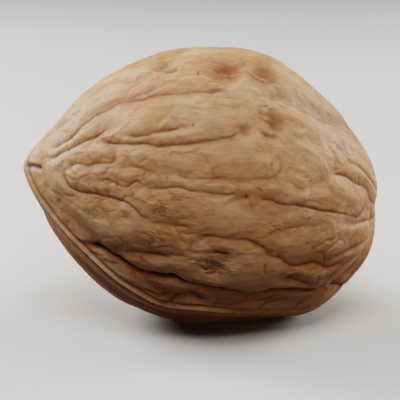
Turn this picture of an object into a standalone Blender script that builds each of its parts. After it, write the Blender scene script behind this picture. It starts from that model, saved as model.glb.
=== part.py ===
# A walnut in its shell, lying on its side on a small flat spot.
# The shell is one closed piece: two halves grown together along a raised seam,
# wrinkled by long furrows that run from the pointed tip to the blunt end.

import math
import random

import bmesh
import bpy
import numpy as np
from mathutils import noise

# Driving sizes, in millimetres.
MM = 0.001
LENGTH = 42.0
DRAWN_LENGTH = 42.0
SEAM_HEIGHT = 0.5
SEAM_HALF_WIDTH = 1.0
SEAM_GROOVE_DEPTH = 0.3
SEAM_GROOVE_HALF_WIDTH = 0.45
SEAM_FLANK_DEPTH = 0.35
SEAM_FLANK_OFFSET = 2.7
SEAM_FLANK_HALF_WIDTH = 1.1
SEAM_CALM_HALF_WIDTH = 2.0
SEAM_CALM_SHARE = 0.8
NOTCH_DEPTH = 0.5
NOTCH_HALF_WIDTH = 0.45
PILLOW_HEIGHT = 0.25
PILLOW_SPREAD = 1.3
LUMP_HEIGHT = 0.35
LUMP_SIZE = 7.0

# The nut's centre above the surface it rests on, and its place over the origin.
CENTRE = (-0.2, 0.0, 16.07)

# How the nut lies: the tip points to -X, is raised by TIP_RISE degrees on the
# drawing sheet and is swung TIP_SWING degrees towards the front. The drawing
# sheet faces the front, -Y, and leans back from upright by SHEET_LEAN degrees.
TIP_RISE = 6.3
TIP_SWING = 8.0
SHEET_LEAN = 15.0

# Distance from the shell's middle to its surface, every 15 degrees from the tip
# to the blunt end, along four lines: over the top, the front, the underside and
# the back.
STEP = 15.0
OVER_TOP = (20.75, 18.75, 17.8, 16.7, 16.25, 16.25, 16.55, 17.1, 17.2, 17.5, 19.1, 20.55, 20.9)
OVER_FRONT = (20.75, 18.8, 17.6, 16.7, 16.3, 16.2, 16.3, 16.7, 17.3, 18.3, 19.5, 20.6, 20.9)
UNDER = (20.75, 19.15, 17.8, 17.0, 16.65, 16.3, 16.45, 16.6, 17.65, 19.8, 20.6, 21.45, 20.9)
OVER_BACK = (20.75, 18.8, 17.6, 16.7, 16.3, 16.2, 16.3, 16.7, 17.3, 18.3, 19.5, 20.6, 20.9)

# The seam's angle round the nut, in degrees from the top, at the same steps along
# the underside and over the top.
SEAM_UNDER = (150, 146, 144.5, 146, 149, 153, 149, 151.5, 155, 160, 162, 162, 162)
SEAM_OVER = (341, 341, 340, 338.5, 337, 335, 333, 331, 329, 327, 325, 324, 324)
SEAM_POINTS = 61

# The shell is nearly smooth below the seam on the half with the tip: the limits
# between which the smoothness sets in and fades, round the nut and from the tip,
# in degrees, and how much of the relief it takes away.
QUIET_FROM = (148.0, 156.0)
QUIET_TO = (184.0, 196.0)
QUIET_UNTIL = (86.0, 108.0)
QUIET_SHARE = 0.8

# The furrows are drawn on the flat sheet, in millimetres to the right of and
# above the nut's middle, and laid on the shell along straight lines from one
# eye point in front of it. The search for the shell on such a line starts
# IN_FRONT of the sheet and is halved HALVINGS times.
EYE = (-0.1, -1.8, 160.0)
IN_FRONT = 24.0
HALVINGS = 24

# How sharply a furrow's walls drop, the share of its length over which it runs
# out at either end, and how far off it is still felt. Where furrows meet, the
# power keeps the deeper one.
FURROW_EDGE = 1.6
FURROW_RUN_OUT = 1.0 / 6.0
FURROW_REACH = 5.0
MEETING_POWER = 4.0

# Each furrow: depth, half width, then its points.
FURROWS = (
    # Slanting folds above the tip.
    (0.25, 0.7, (-18.4, 5.6), (-17.4, 6.1), (-16.1, 7.0), (-15.2, 7.6), (-14.4, 8.3)),
    (0.25, 0.8, (-14.9, 9.1), (-13.4, 9.9), (-11.8, 10.9), (-10.4, 11.9), (-9.0, 12.2),
     (-7.4, 12.3), (-6.0, 12.8), (-4.9, 13.5)),
    # The long upper crease, from the tip over the shoulder.
    (0.4, 0.7, (-17.8, 4.0), (-16.4, 4.9), (-15.0, 5.8), (-13.7, 7.1), (-12.0, 8.3),
     (-10.2, 9.3), (-7.7, 9.9), (-5.7, 10.4), (-3.0, 10.8), (-0.2, 10.9), (4.0, 11.1)),
    (0.5, 0.7, (5.8, 11.1), (7.5, 10.5), (9.4, 9.9), (11.0, 9.3), (13.0, 8.3),
     (14.6, 7.5), (16.6, 6.9), (18.8, 5.3)),
    # The fold above the front pillow.
    (0.5, 0.6, (-18.3, 3.0), (-16.4, 3.8), (-15.0, 4.5), (-13.5, 5.2), (-12.5, 5.5),
     (-11.5, 5.1), (-9.5, 4.8), (-6.3, 4.8), (-4.5, 4.6), (-1.5, 4.8), (1.2, 5.2),
     (3.4, 5.6), (5.4, 6.1)),
    (0.35, 0.7, (-9.5, 5.9), (-7.5, 5.7), (-5.8, 6.1), (-4.3, 6.4), (-2.2, 6.8)),
    # Around the front pillow.
    (0.35, 0.6, (-16.3, 1.9), (-14.9, 2.4), (-12.7, 2.4), (-10.6, 2.6), (-10.2, 3.7)),
    (0.35, 0.6, (-10.3, 2.5), (-8.0, 2.1), (-6.3, 1.5), (-4.0, 1.2), (-2.0, 0.8),
     (0.3, 0.6), (3.5, 0.6), (6.5, 0.6), (9.0, 1.1), (9.5, 2.2), (8.8, 3.6)),
    # The forked furrow at the tip, and its long lower branch.
    (0.5, 0.5, (-17.0, 1.4), (-16.1, 1.0), (-15.6, 0.0), (-14.5, -0.8), (-12.4, -1.1),
     (-10.7, -1.5), (-9.0, -2.1), (-7.8, -2.8), (-7.0, -3.8), (-5.8, -4.4),
     (-3.8, -4.7), (-1.5, -5.2), (-0.9, -6.1), (1.5, -6.1), (4.0, -6.4), (6.0, -6.8),
     (7.8, -8.0), (9.3, -8.7), (11.1, -9.6), (13.2, -9.2), (14.7, -9.7), (16.8, -9.4)),
    # The thin furrow along the middle.
    (0.45, 0.5, (-13.0, 0.4), (-11.0, 0.5), (-9.9, 0.0), (-8.7, -0.3), (-7.7, 0.3),
     (-6.0, -0.4), (-3.5, -0.4), (-1.0, -0.8), (2.2, -1.2), (5.3, -1.4), (8.5, -1.9),
     (11.0, -2.4), (14.1, -3.0), (17.2, -3.5), (18.4, -3.9), (19.3, -2.7)),
    # Short furrows under the middle.
    (0.3, 0.6, (-13.5, -3.3), (-11.4, -3.5), (-9.8, -2.9)),
    (0.4, 0.5, (-9.3, -8.1), (-6.8, -8.0), (-4.4, -8.2), (-1.5, -8.4), (-1.1, -6.4)),
    (0.25, 0.5, (9.3, -5.6), (11.5, -5.0), (14.6, -4.6)),
    # The deep lower furrow.
    (0.95, 0.65, (-13.4, -6.7), (-12.0, -7.1), (-10.6, -7.8), (-9.0, -8.7),
     (-7.2, -9.7), (-5.0, -10.2), (-3.0, -10.4), (-1.6, -11.0), (1.0, -11.8),
     (3.0, -12.0), (5.3, -12.5), (7.5, -12.1), (10.0, -12.0), (12.4, -12.2),
     (14.7, -11.8), (17.4, -11.0)),
    # Folds at the blunt end.
    (0.45, 0.5, (15.0, 0.8), (16.2, 1.2), (17.6, 0.6), (19.0, -0.1), (19.8, -1.2),
     (20.7, -2.5)),
    (0.25, 0.6, (9.8, 0.9), (11.4, -0.4), (13.6, 0.0), (15.2, 0.9)),
    (0.3, 0.6, (10.5, 5.9), (12.2, 5.2), (13.9, 4.7)),
    # Creases on the underside's front edge.
    (0.45, 0.5, (-5.4, -13.5), (-2.9, -13.2), (-0.8, -13.1), (0.9, -14.0), (4.2, -14.1)),
    (0.3, 0.4, (6.9, -14.6), (8.3, -13.9), (9.7, -12.9)),
    (0.3, 0.4, (9.4, -14.9), (11.4, -14.2), (12.8, -13.3)),
)

# Each pit: depth, radius, then its place on the drawing sheet.
PITS = (
    (0.5, 1.3, (-4.0, 13.8)),
    (1.0, 2.2, (3.1, 13.3)),
    (1.0, 2.0, (7.3, 12.9)),
    (0.4, 0.9, (5.0, 6.2)),
    (0.6, 1.2, (7.7, 5.9)),
    (0.45, 1.2, (8.6, 6.7)),
    (0.45, 0.8, (16.1, 4.3)),
    (0.5, 1.0, (2.6, -8.3)),
    (0.35, 1.5, (1.6, -9.6)),
    (0.4, 0.7, (8.1, -8.2)),
    (0.5, 0.8, (10.2, -11.2)),
    # Dips along the outline over the blunt end.
    (0.35, 0.9, (13.7, 11.1)),
    (0.25, 0.8, (10.8, 13.4)),
    (0.2, 0.8, (15.2, 9.6)),
)

# The small notch in the tip.
TIP_NOTCH = ((-21.0, 2.5), (-20.2, 2.3), (-19.3, 2.0))

# The sides that the sheet doesn't reach carry furrows that wander from the tip
# to the blunt end, at these angles round the nut, in degrees from the top. Each
# is shallow or deep by chance, breaks off once and goes on a little to one side,
# and slanting branches join neighbours.
BACK_FURROWS = (177, 191, 208, 224, 241, 257, 275, 291, 307, 322, 350, 364)
BACK_DEPTHS = (0.3, 0.7)
BACK_HALF_WIDTH = 0.6
BACK_DRIFT_DEGREES = (2.0, 4.5)
BACK_DRIFT_WAVES = (3.0, 5.0)
BACK_STEP_DEGREES = 5.0
BACK_START_DEGREES = (10.0, 30.0)
BACK_BREAK_DEGREES = (60.0, 120.0)
BACK_BREAK_LENGTH = 6.0
BACK_OFFSET_DEGREES = (-6.0, 6.0)
BACK_END_DEGREES = (145.0, 170.0)
BRANCHES = 2
BRANCH_START_DEGREES = (35.0, 145.0)
BRANCH_POINTS = 6
NEIGHBOUR_DEGREES = 20.0
BRANCH_DEPTH = 0.3
BRANCH_HALF_WIDTH = 0.5
BRANCH_ALONG_DEGREES = 14.0
BRANCH_ACROSS_DEGREES = 16.0
BACK_SEED = 23

# Between them lie shorter wrinkles that close round long pillows: their depth,
# half width as a share of a pillow's width, how sharply they drop, pillows in a
# turn round the nut, and pillows from tip to blunt end.
WRINKLE_DEPTH = 0.5
WRINKLE_SHARE = 0.17
WRINKLE_EDGE = 1.3
WRINKLES_ROUND = 24.0
WRINKLES_ALONG = 4.4
WRINKLE_BEND = 0.4
WRINKLE_TURN = 0.12
WRINKLE_BENDS = 4.0
WRINKLE_SHIFT = (3.3, 5.7, 1.9)
BEND_SHIFT = 9.0
LUMP_SHIFT = 4.0

# On the front they are weak, and at both ends they run out: the limits between
# which each sets in, along the view and across the nut, as shares of its radius.
WRINKLE_FRONT_SHARE = 0.15
WRINKLE_FRONT_LIMITS = (0.1, 0.55)
WRINKLE_END_LIMITS = (0.15, 0.55)

# The mesh: rows along each edge of the starting cube, and the share of its
# triangles that is kept.
CUBE_ROWS = 60
KEEP_SHARE = 0.27

# A distance beyond every other, and one too short to matter.
FAR = 1e9
TINY = 1e-6

SHELL_COLOUR = (0.47, 0.29, 0.15, 1.0)
SHELL_ROUGHNESS = 0.62


def sheet_axes():
    """Unit vectors of the nut on the drawing sheet: tip, top and front."""
    rise = math.radians(TIP_RISE)
    swing = math.radians(TIP_SWING)
    tip = np.array((-math.cos(rise) * math.cos(swing), math.sin(rise) * math.cos(swing), math.sin(swing)))
    top = np.array((math.sin(rise), math.cos(rise), 0.0))
    front = np.array((math.cos(rise) * math.sin(swing), -math.sin(rise) * math.sin(swing), math.cos(swing)))
    return tip, top, front


def meridian(radii, opposite, polar):
    """Radius along one of the four lines, smooth through its steps."""
    before_tip = 2.0 * radii[0] - radii[1]
    knots = np.array((before_tip,) + radii + (opposite[-2],))
    place = np.clip(polar / STEP, 0.0, len(radii) - 1 - TINY)
    row = place.astype(int)
    part = place - row
    a, b, c, d = knots[row], knots[row + 1], knots[row + 2], knots[row + 3]
    return b + 0.5 * part * (c - a + part * (2 * a - 5 * b + 4 * c - d + part * (3 * (b - c) + d - a)))


def shell_radius(polar, around):
    """Distance from the middle to the smooth shell, for angles in degrees."""
    lines = np.stack((
        meridian(OVER_TOP, UNDER, polar),
        meridian(OVER_FRONT, OVER_BACK, polar),
        meridian(UNDER, OVER_TOP, polar),
        meridian(OVER_BACK, OVER_FRONT, polar),
    ))
    quarter = np.floor(around / 90.0).astype(int) % 4
    share = np.sin(np.radians(around - 90.0 * np.floor(around / 90.0))) ** 2
    column = np.arange(len(polar))
    return (1.0 - share) * lines[quarter, column] + share * lines[(quarter + 1) % 4, column]


def angles(points):
    """Angle from the tip and angle round the nut of each point, in degrees."""
    tip, top, front = sheet_axes()
    unit = points / np.linalg.norm(points, axis=1, keepdims=True)
    polar = np.degrees(np.arccos(np.clip(unit @ tip, -1.0, 1.0)))
    around = np.degrees(np.arctan2(unit @ front, unit @ top)) % 360.0
    return polar, around


def on_shell(polar, around):
    """Points on the smooth shell at the given angles."""
    tip, top, front = sheet_axes()
    polar = np.asarray(polar, dtype=float)
    around = np.asarray(around, dtype=float) % 360.0
    p = np.radians(polar)[:, None]
    a = np.radians(around)[:, None]
    unit = np.cos(p) * tip + np.sin(p) * (np.cos(a) * top + np.sin(a) * front)
    return unit * shell_radius(polar, around)[:, None]


def smooth_line(points, pieces=3):
    """A smooth line through the points, with more points between them."""
    knots = np.array(points, dtype=float)
    knots = np.vstack((2 * knots[:1] - knots[1:2], knots, 2 * knots[-1:] - knots[-2:-1]))
    out = []
    for i in range(1, len(knots) - 2):
        a, b, c, d = knots[i - 1:i + 3]
        for step in range(pieces):
            t = step / pieces
            out.append(b + 0.5 * t * (c - a + t * (2 * a - 5 * b + 4 * c - d + t * (3 * (b - c) + d - a))))
    out.append(knots[-2])
    return np.array(out)


def lay_on_shell(drawn):
    """Lay points of the drawing sheet on the front of the smooth shell."""
    drawn = np.asarray(drawn, dtype=float)
    flat = np.column_stack((drawn, np.zeros(len(drawn))))
    eye = np.array(EYE)
    outside = np.full(len(drawn), IN_FRONT / EYE[2])
    inside = np.zeros(len(drawn))
    for _ in range(HALVINGS):
        middle = 0.5 * (outside + inside)
        spot = flat + (eye - flat) * middle[:, None]
        polar, around = angles(spot)
        clear = np.linalg.norm(spot, axis=1) > shell_radius(polar, around)
        outside = np.where(clear, middle, outside)
        inside = np.where(clear, inside, middle)
    spot = flat + (eye - flat) * outside[:, None]
    polar, around = angles(spot)
    return on_shell(polar, around)


def seam_line(turns):
    """The seam from tip to blunt end, at the given angles round the nut."""
    polar = np.linspace(0.0, 180.0, SEAM_POINTS)
    return on_shell(polar, meridian(turns, turns, polar))


def ramp(value, limits):
    """0 up to the first limit, rising to 1 at the second."""
    return np.clip((value - limits[0]) / (limits[1] - limits[0]), 0.0, 1.0)


def quiet_share(points):
    """How smooth the shell lies at each point, from 0 to 1."""
    polar, around = angles(points)
    below = ramp(around, QUIET_FROM) * (1.0 - ramp(around, QUIET_TO))
    return below * (1.0 - ramp(polar, QUIET_UNTIL))


def wandering_furrow(rng, around, start, end):
    """A furrow along the nut whose angle round it drifts a little."""
    polar = np.arange(start, end, BACK_STEP_DEGREES)
    phase = rng.uniform(0.0, 360.0)
    drift = rng.uniform(*BACK_DRIFT_DEGREES)
    bend = drift * np.sin(np.radians(polar * rng.uniform(*BACK_DRIFT_WAVES) + phase))
    return on_shell(polar, around + bend)


def back_furrows():
    """Long furrows and their side branches on the sides away from the sheet."""
    rng = random.Random(BACK_SEED)
    lines = []
    for i, around in enumerate(BACK_FURROWS):
        gap = rng.uniform(*BACK_BREAK_DEGREES)
        depth = rng.uniform(*BACK_DEPTHS)
        first = wandering_furrow(rng, around, rng.uniform(*BACK_START_DEGREES), gap)
        beside = around + rng.uniform(*BACK_OFFSET_DEGREES)
        end = rng.uniform(*BACK_END_DEGREES)
        second = wandering_furrow(rng, beside, gap + BACK_BREAK_LENGTH, end)
        lines.append((depth, BACK_HALF_WIDTH, first))
        lines.append((depth, BACK_HALF_WIDTH, second))
        if i + 1 < len(BACK_FURROWS) and BACK_FURROWS[i + 1] - around < NEIGHBOUR_DEGREES:
            for _ in range(BRANCHES):
                polar = rng.uniform(*BRANCH_START_DEGREES)
                slant = np.linspace(0.0, 1.0, BRANCH_POINTS)
                down = polar + BRANCH_ALONG_DEGREES * slant
                across = around + BRANCH_ACROSS_DEGREES * slant
                lines.append((BRANCH_DEPTH, BRANCH_HALF_WIDTH, on_shell(down, across)))
    return lines


def wrinkles(unit):
    """Depth of the short wrinkles, full on the sides away from the sheet."""
    polar, around = angles(unit)
    ring = WRINKLES_ROUND / math.tau
    depth = np.zeros(len(unit))
    for i in range(len(unit)):
        turn = math.radians(around[i])
        along = WRINKLES_ALONG * polar[i] / 180.0
        x, y, z = WRINKLE_BENDS * unit[i]
        bend = noise.noise((x, y, z + BEND_SHIFT))
        turn += WRINKLE_TURN * bend
        along += WRINKLE_BEND * bend
        spot = np.array((ring * math.cos(turn), ring * math.sin(turn), along)) + WRINKLE_SHIFT
        depth[i] = math.exp(-(abs(noise.noise(spot)) / WRINKLE_SHARE) ** WRINKLE_EDGE)
    facing = ramp(unit[:, 2], WRINKLE_FRONT_LIMITS)
    share = 1.0 - (1.0 - WRINKLE_FRONT_SHARE) * facing
    ends = ramp(np.sin(np.radians(polar)), WRINKLE_END_LIMITS)
    return WRINKLE_DEPTH * share * ends * depth


def lumps(points):
    """Slow rise and fall of the shell."""
    scaled = points / LUMP_SIZE
    return LUMP_HEIGHT * np.array([noise.noise((x, y + LUMP_SHIFT, z)) for x, y, z in scaled])


def nearest(points, line):
    """Distance from each point to a line of points, and how far along it."""
    best = np.full(len(points), FAR)
    along = np.zeros(len(points))
    for i in range(len(line) - 1):
        start = line[i]
        step = line[i + 1] - start
        share = np.clip((points - start) @ step / max(step @ step, TINY), 0.0, 1.0)
        gap = np.linalg.norm(points - start - share[:, None] * step, axis=1)
        closer = gap < best
        best[closer] = gap[closer]
        along[closer] = (i + share[closer]) / (len(line) - 1)
    return best, along


def furrow_lines():
    """Every furrow as depth, half width and a line on the shell."""
    lines = [(f[0], f[1], lay_on_shell(smooth_line(f[2:]))) for f in FURROWS]
    return lines + back_furrows()


def relief(points):
    """How far the finished shell stands out from the smooth one, in millimetres."""
    crease = np.zeros(len(points))
    clearance = np.full(len(points), FAR)
    for depth, half_width, line in furrow_lines():
        middle = line.mean(axis=0)
        reach = np.linalg.norm(line - middle, axis=1).max() + FURROW_REACH
        close = np.nonzero(np.linalg.norm(points - middle, axis=1) < reach)[0]
        gap, along = nearest(points[close], line)
        ends = np.clip(np.minimum(along, 1.0 - along) / FURROW_RUN_OUT, 0.0, 1.0) ** 0.5
        here = depth * ends * np.exp(-(gap / half_width) ** FURROW_EDGE)
        crease[close] += here ** MEETING_POWER
        clearance[close] = np.minimum(clearance[close], gap + 1.5 * (1.0 - ends))
    unit = points / np.linalg.norm(points, axis=1, keepdims=True)
    crease += wrinkles(unit) ** MEETING_POWER
    height = lumps(points) - crease ** (1.0 / MEETING_POWER)
    height += PILLOW_HEIGHT * (0.5 - np.exp(-(clearance / PILLOW_SPREAD) ** 2))

    for depth, radius, place in PITS:
        centre = lay_on_shell([place])[0]
        gap = np.linalg.norm(points - centre, axis=1)
        height -= depth * np.exp(-(gap / radius) ** 2)

    seam = np.full(len(points), FAR)
    for turns in (SEAM_UNDER, SEAM_OVER):
        gap, along = nearest(points, seam_line(turns))
        seam = np.minimum(seam, gap)
    ridge = SEAM_HEIGHT * np.exp(-(seam / SEAM_HALF_WIDTH) ** 2)
    groove = SEAM_GROOVE_DEPTH * np.exp(-(seam / SEAM_GROOVE_HALF_WIDTH) ** 2)
    flank = SEAM_FLANK_DEPTH * np.exp(-((seam - SEAM_FLANK_OFFSET) / SEAM_FLANK_HALF_WIDTH) ** 2)
    calm = np.exp(-(seam / SEAM_CALM_HALF_WIDTH) ** 2)
    height *= (1.0 - SEAM_CALM_SHARE * calm) * (1.0 - QUIET_SHARE * quiet_share(points))
    height += ridge - groove - flank

    notch, along = nearest(points, lay_on_shell(TIP_NOTCH))
    return height - NOTCH_DEPTH * np.exp(-(notch / NOTCH_HALF_WIDTH) ** 2)


def cube_sphere(rows):
    """A sphere of evenly spread faces, from a finely divided cube."""
    bm = bmesh.new()
    bmesh.ops.create_cube(bm, size=2.0)
    bmesh.ops.subdivide_edges(bm, edges=bm.edges[:], cuts=rows - 1, use_grid_fill=True)
    mesh = bpy.data.meshes.new("walnut")
    bm.to_mesh(mesh)
    bm.free()
    place = np.empty(3 * len(mesh.vertices))
    mesh.vertices.foreach_get("co", place)
    place = np.tan(place.reshape(-1, 3) * math.pi / 4.0)
    return mesh, place / np.linalg.norm(place, axis=1, keepdims=True)


def shell_points(unit):
    """The finished shell's points on the drawing sheet's axes, in millimetres."""
    polar, around = angles(unit)
    smooth = unit * shell_radius(polar, around)[:, None]
    return smooth + unit * relief(smooth)[:, None]


def stand_up(points):
    """Turn from the drawing sheet's axes to the world's, in metres."""
    lean = math.radians(SHEET_LEAN)
    scale = MM * LENGTH / DRAWN_LENGTH
    x = points[:, 0]
    y = points[:, 1] * math.sin(lean) - points[:, 2] * math.cos(lean)
    z = points[:, 1] * math.cos(lean) + points[:, 2] * math.sin(lean)
    return (np.column_stack((x, y, z)) + np.array(CENTRE)) * scale


def collection(name):
    """A new collection in the scene."""
    made = bpy.data.collections.new(name)
    bpy.context.scene.collection.children.link(made)
    return made


def shell_material():
    """Dry tan shell, matt."""
    made = bpy.data.materials.new("shell")
    made.use_nodes = True
    surface = made.node_tree.nodes["Principled BSDF"]
    surface.inputs["Base Color"].default_value = SHELL_COLOUR
    surface.inputs["Roughness"].default_value = SHELL_ROUGHNESS
    surface.inputs["Metallic"].default_value = 0.0
    return made


def resting_cutter(home):
    """A block under the surface that the nut rests on."""
    size = 2.0 * LENGTH * MM
    depth = 0.25 * size
    bm = bmesh.new()
    bmesh.ops.create_cube(bm, size=1.0)
    bmesh.ops.scale(bm, vec=(size, size, depth), verts=bm.verts[:])
    bmesh.ops.translate(bm, vec=(0.0, 0.0, -0.5 * depth), verts=bm.verts[:])
    mesh = bpy.data.meshes.new("resting_cutter")
    bm.to_mesh(mesh)
    bm.free()
    cutter = bpy.data.objects.new("resting_cutter", mesh)
    cutter.hide_render = True
    cutter.display_type = "WIRE"
    home.objects.link(cutter)
    return cutter


def main():
    for thing in list(bpy.data.objects):
        bpy.data.objects.remove(thing, do_unlink=True)

    nut_home = collection("walnut_in_shell")
    cutter_home = collection("cutters")

    mesh, unit = cube_sphere(CUBE_ROWS)
    mesh.vertices.foreach_set("co", stand_up(shell_points(unit)).ravel())
    mesh.update()
    mesh.shade_smooth()
    mesh.materials.append(shell_material())
    walnut = bpy.data.objects.new("walnut", mesh)
    nut_home.objects.link(walnut)

    thin = walnut.modifiers.new("thin_out", "DECIMATE")
    thin.ratio = KEEP_SHARE
    rest = walnut.modifiers.new("resting_flat", "BOOLEAN")
    rest.operation = "DIFFERENCE"
    rest.solver = "EXACT"
    rest.object = resting_cutter(cutter_home)


if __name__ == "__main__":
    main()
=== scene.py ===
# A walnut in its shell, lying on its side on a pale floor under soft studio light.

import math
import random

import bmesh
import bpy
import mathutils
import numpy as np
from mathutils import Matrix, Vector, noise


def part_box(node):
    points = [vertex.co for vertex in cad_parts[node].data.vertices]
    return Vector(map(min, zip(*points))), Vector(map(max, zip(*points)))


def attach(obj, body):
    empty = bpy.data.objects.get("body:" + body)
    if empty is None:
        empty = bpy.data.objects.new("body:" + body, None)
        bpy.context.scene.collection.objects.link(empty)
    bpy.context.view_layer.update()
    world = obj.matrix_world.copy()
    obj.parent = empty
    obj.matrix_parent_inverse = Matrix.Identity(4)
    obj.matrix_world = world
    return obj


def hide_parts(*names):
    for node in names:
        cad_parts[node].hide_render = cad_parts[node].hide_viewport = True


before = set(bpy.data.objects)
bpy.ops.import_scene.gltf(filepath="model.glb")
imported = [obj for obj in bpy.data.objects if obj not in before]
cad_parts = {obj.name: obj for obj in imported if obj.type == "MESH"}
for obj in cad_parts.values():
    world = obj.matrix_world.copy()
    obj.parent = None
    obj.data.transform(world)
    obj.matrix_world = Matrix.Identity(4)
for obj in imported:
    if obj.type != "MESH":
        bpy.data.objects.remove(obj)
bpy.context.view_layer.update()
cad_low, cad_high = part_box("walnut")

bl_info = {
    "name": "Walnut in its shell",
    "version": (1, 0, 0),
    "blender": (4, 5, 0),
    "location": "3D View > Sidebar > Walnut",
    "description": "Grows a walnut's wrinkled shell and sets it on a pale studio floor",
    "category": "Add Mesh",
}

MM = 0.001

# The shell's form, in millimetres: how high its middle lies, how it is turned, and
# the distance from its middle to its surface every STEP degrees from the tip to
# the blunt end, over the top, the front, the underside and the back.
CENTRE = (-0.2, 0.0, 16.07)
TIP_RISE = 6.3
TIP_SWING = 8.0
SHEET_LEAN = 15.0
STEP = 15.0
OVER_TOP = (20.75, 18.75, 17.8, 16.7, 16.25, 16.25, 16.55, 17.1, 17.2, 17.5, 19.1, 20.55, 20.9)
OVER_FRONT = (20.75, 18.8, 17.6, 16.7, 16.3, 16.2, 16.3, 16.7, 17.3, 18.3, 19.5, 20.6, 20.9)
UNDER = (20.75, 19.15, 17.8, 17.0, 16.65, 16.3, 16.45, 16.6, 17.65, 19.8, 20.6, 21.45, 20.9)
OVER_BACK = (20.75, 18.8, 17.6, 16.7, 16.3, 16.2, 16.3, 16.7, 17.3, 18.3, 19.5, 20.6, 20.9)
# The seam's angle round the nut at the same steps, along the underside and over the top.
SEAM_UNDER = (150, 146, 144.5, 146, 149, 153, 149, 151.5, 155, 160, 162, 162, 162)
SEAM_OVER = (330, 330, 331, 332, 332, 331.5, 331, 330, 329, 327, 325, 324, 324)
# Where the seam sinks on the underside: the angle round the nut, the angles from the tip
# at which it starts to sink, is sunk, rises again and is whole, and how much it loses.
SEAM_SUNK_AROUND = 160.0
SEAM_SUNK_POLAR = (92.0, 116.0, 132.0, 164.0)
SEAM_SUNK_SHARE = 0.6
DRAWN_LENGTH = 41.57
LUMP_HEIGHT = 0.35
LUMP_SIZE = 7.0
GATHER = 1.35

# The furrows are drawn on a flat sheet, in millimetres to the right of and above
# the nut's middle, and laid on the shell along straight lines from the eye point,
# which is also where the camera stands.
EYE = (-0.1, -1.8, 160.0)

# Each line: depth, half width, stain and painted shade, then its points. A negative depth is a ridge.
FOLDS = (
    # Slanting folds above the tip.
    (0.4, 0.6, 0.2, (-18.4, 5.6), (-17.4, 6.1), (-16.1, 7.0), (-15.2, 7.6), (-14.5, 8.2), (-13.8, 9.0)),
    (0.4, 0.7, 0.2, (-16.4, 8.0), (-15.0, 9.0), (-13.6, 9.8), (-12.0, 10.8), (-10.6, 11.7), (-9.3, 12.2),
     (-8.0, 12.1), (-6.2, 12.7), (-5.2, 13.4)),
    # The upper furrow's soft shoulder, and the shaded slope over the right side.
    (0.2, 0.9, 0.0, (-12.9, 7.7), (-11.0, 8.8), (-9.4, 9.7), (-6.7, 10.1), (-3.0, 10.8), (1.0, 10.9)),
    (0.6, 1.1, 0.3, (6.8, 11.2), (7.5, 10.9), (9.4, 10.4), (11.0, 9.9), (13.0, 9.0), (14.6, 8.2),
     (16.6, 7.5), (18.6, 5.7)),
    # Hollows between the pillows.
    (0.2, 0.6, 0.1, (5.5, 9.6), (7.0, 9.75), (8.5, 9.4), (9.6, 9.0), (10.4, 8.6)),
    (0.18, 0.5, 0.1, (-8.6, 7.9), (-7.9, 8.2), (-7.5, 8.7), (-7.0, 9.2)),
    (0.25, 0.7, 0.15, (10.5, 6.0), (11.2, 5.5), (12.2, 5.2), (13.0, 5.0), (13.9, 4.75)),
    (0.2, 0.8, 0.1, (-13.5, -3.35), (-12.4, -3.5), (-11.4, -3.5), (-10.5, -3.2), (-9.8, -2.9)),
    (0.2, 0.7, 0.2, (16.0, 1.3), (15.8, 2.1), (15.9, 3.0)),
    (0.3, 0.9, 0.35, (-10.6, -7.4), (-9.3, -8.1)),
    (0.25, 0.8, 0.1, (-12.6, -7.9), (-11.5, -8.9), (-10.4, -9.6), (-9.0, -10.4)),
    # The steep near edges of the hollows on top, darkened partly with painted shade, and the pale lips below them.
    (0.35, 0.5, 0.5, (-5.6, 13.4), (-4.5, 13.4), (-3.7, 13.2), (-2.8, 13.4)),
    (0.45, 0.9, 0.45, (1.0, 13.3), (1.8, 12.9), (2.6, 12.55), (3.3, 12.4), (4.1, 12.6), (4.8, 13.1)),
    (0.45, 0.9, 0.5, (5.7, 13.3), (6.2, 12.6), (6.8, 12.2), (7.5, 12.0), (8.2, 12.2), (8.8, 12.6)),
    (-0.25, 0.45, 0.0, (-7.8, 12.4), (-5.6, 12.8), (-3.4, 12.5), (-1.4, 12.6), (0.1, 12.6), (1.4, 11.9),
     (2.8, 11.4), (4.1, 11.5), (5.1, 12.2), (5.2, 13.2), (5.0, 14.2)),
    (-0.2, 0.4, 0.0, (5.6, 11.9), (6.4, 11.2), (7.6, 11.0), (8.8, 11.3)),
    # Dark slits at the near edges of the hollows on the right, their darkness partly painted shade.
    (0.5, 0.55, 0.55, (6.9, 6.3), (7.5, 5.85), (8.2, 5.6), (9.0, 5.75)),
    (0.35, 0.4, 0.5, (15.6, 4.6), (16.1, 4.2), (16.8, 3.9)),
    (0.25, 0.4, 0.3, (10.1, 10.9), (9.95, 10.2), (10.4, 9.6)),
    # Ridges that catch the light beside the deeper furrows.
    (-0.16, 0.7, 0.0, (6.6, 9.9), (8.6, 9.2), (10.6, 8.4), (12.6, 7.3), (14.4, 6.5), (16.4, 5.8)),
    (-0.2, 0.6, 0.0, (10.0, -10.3), (11.5, -10.2), (12.5, -10.7), (13.2, -11.0), (14.0, -10.8), (15.0, -10.5)),
    (-0.15, 0.6, 0.0, (-6.8, -9.0), (-5.0, -9.35), (-3.0, -9.5), (-1.6, -9.9)),
    (-0.12, 0.5, 0.0, (7.5, -2.2), (8.5, -3.0), (9.0, -3.6)),
    (-0.15, 0.6, 0.0, (10.6, 4.9), (12.0, 4.4), (13.4, 4.1)),
)
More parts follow.
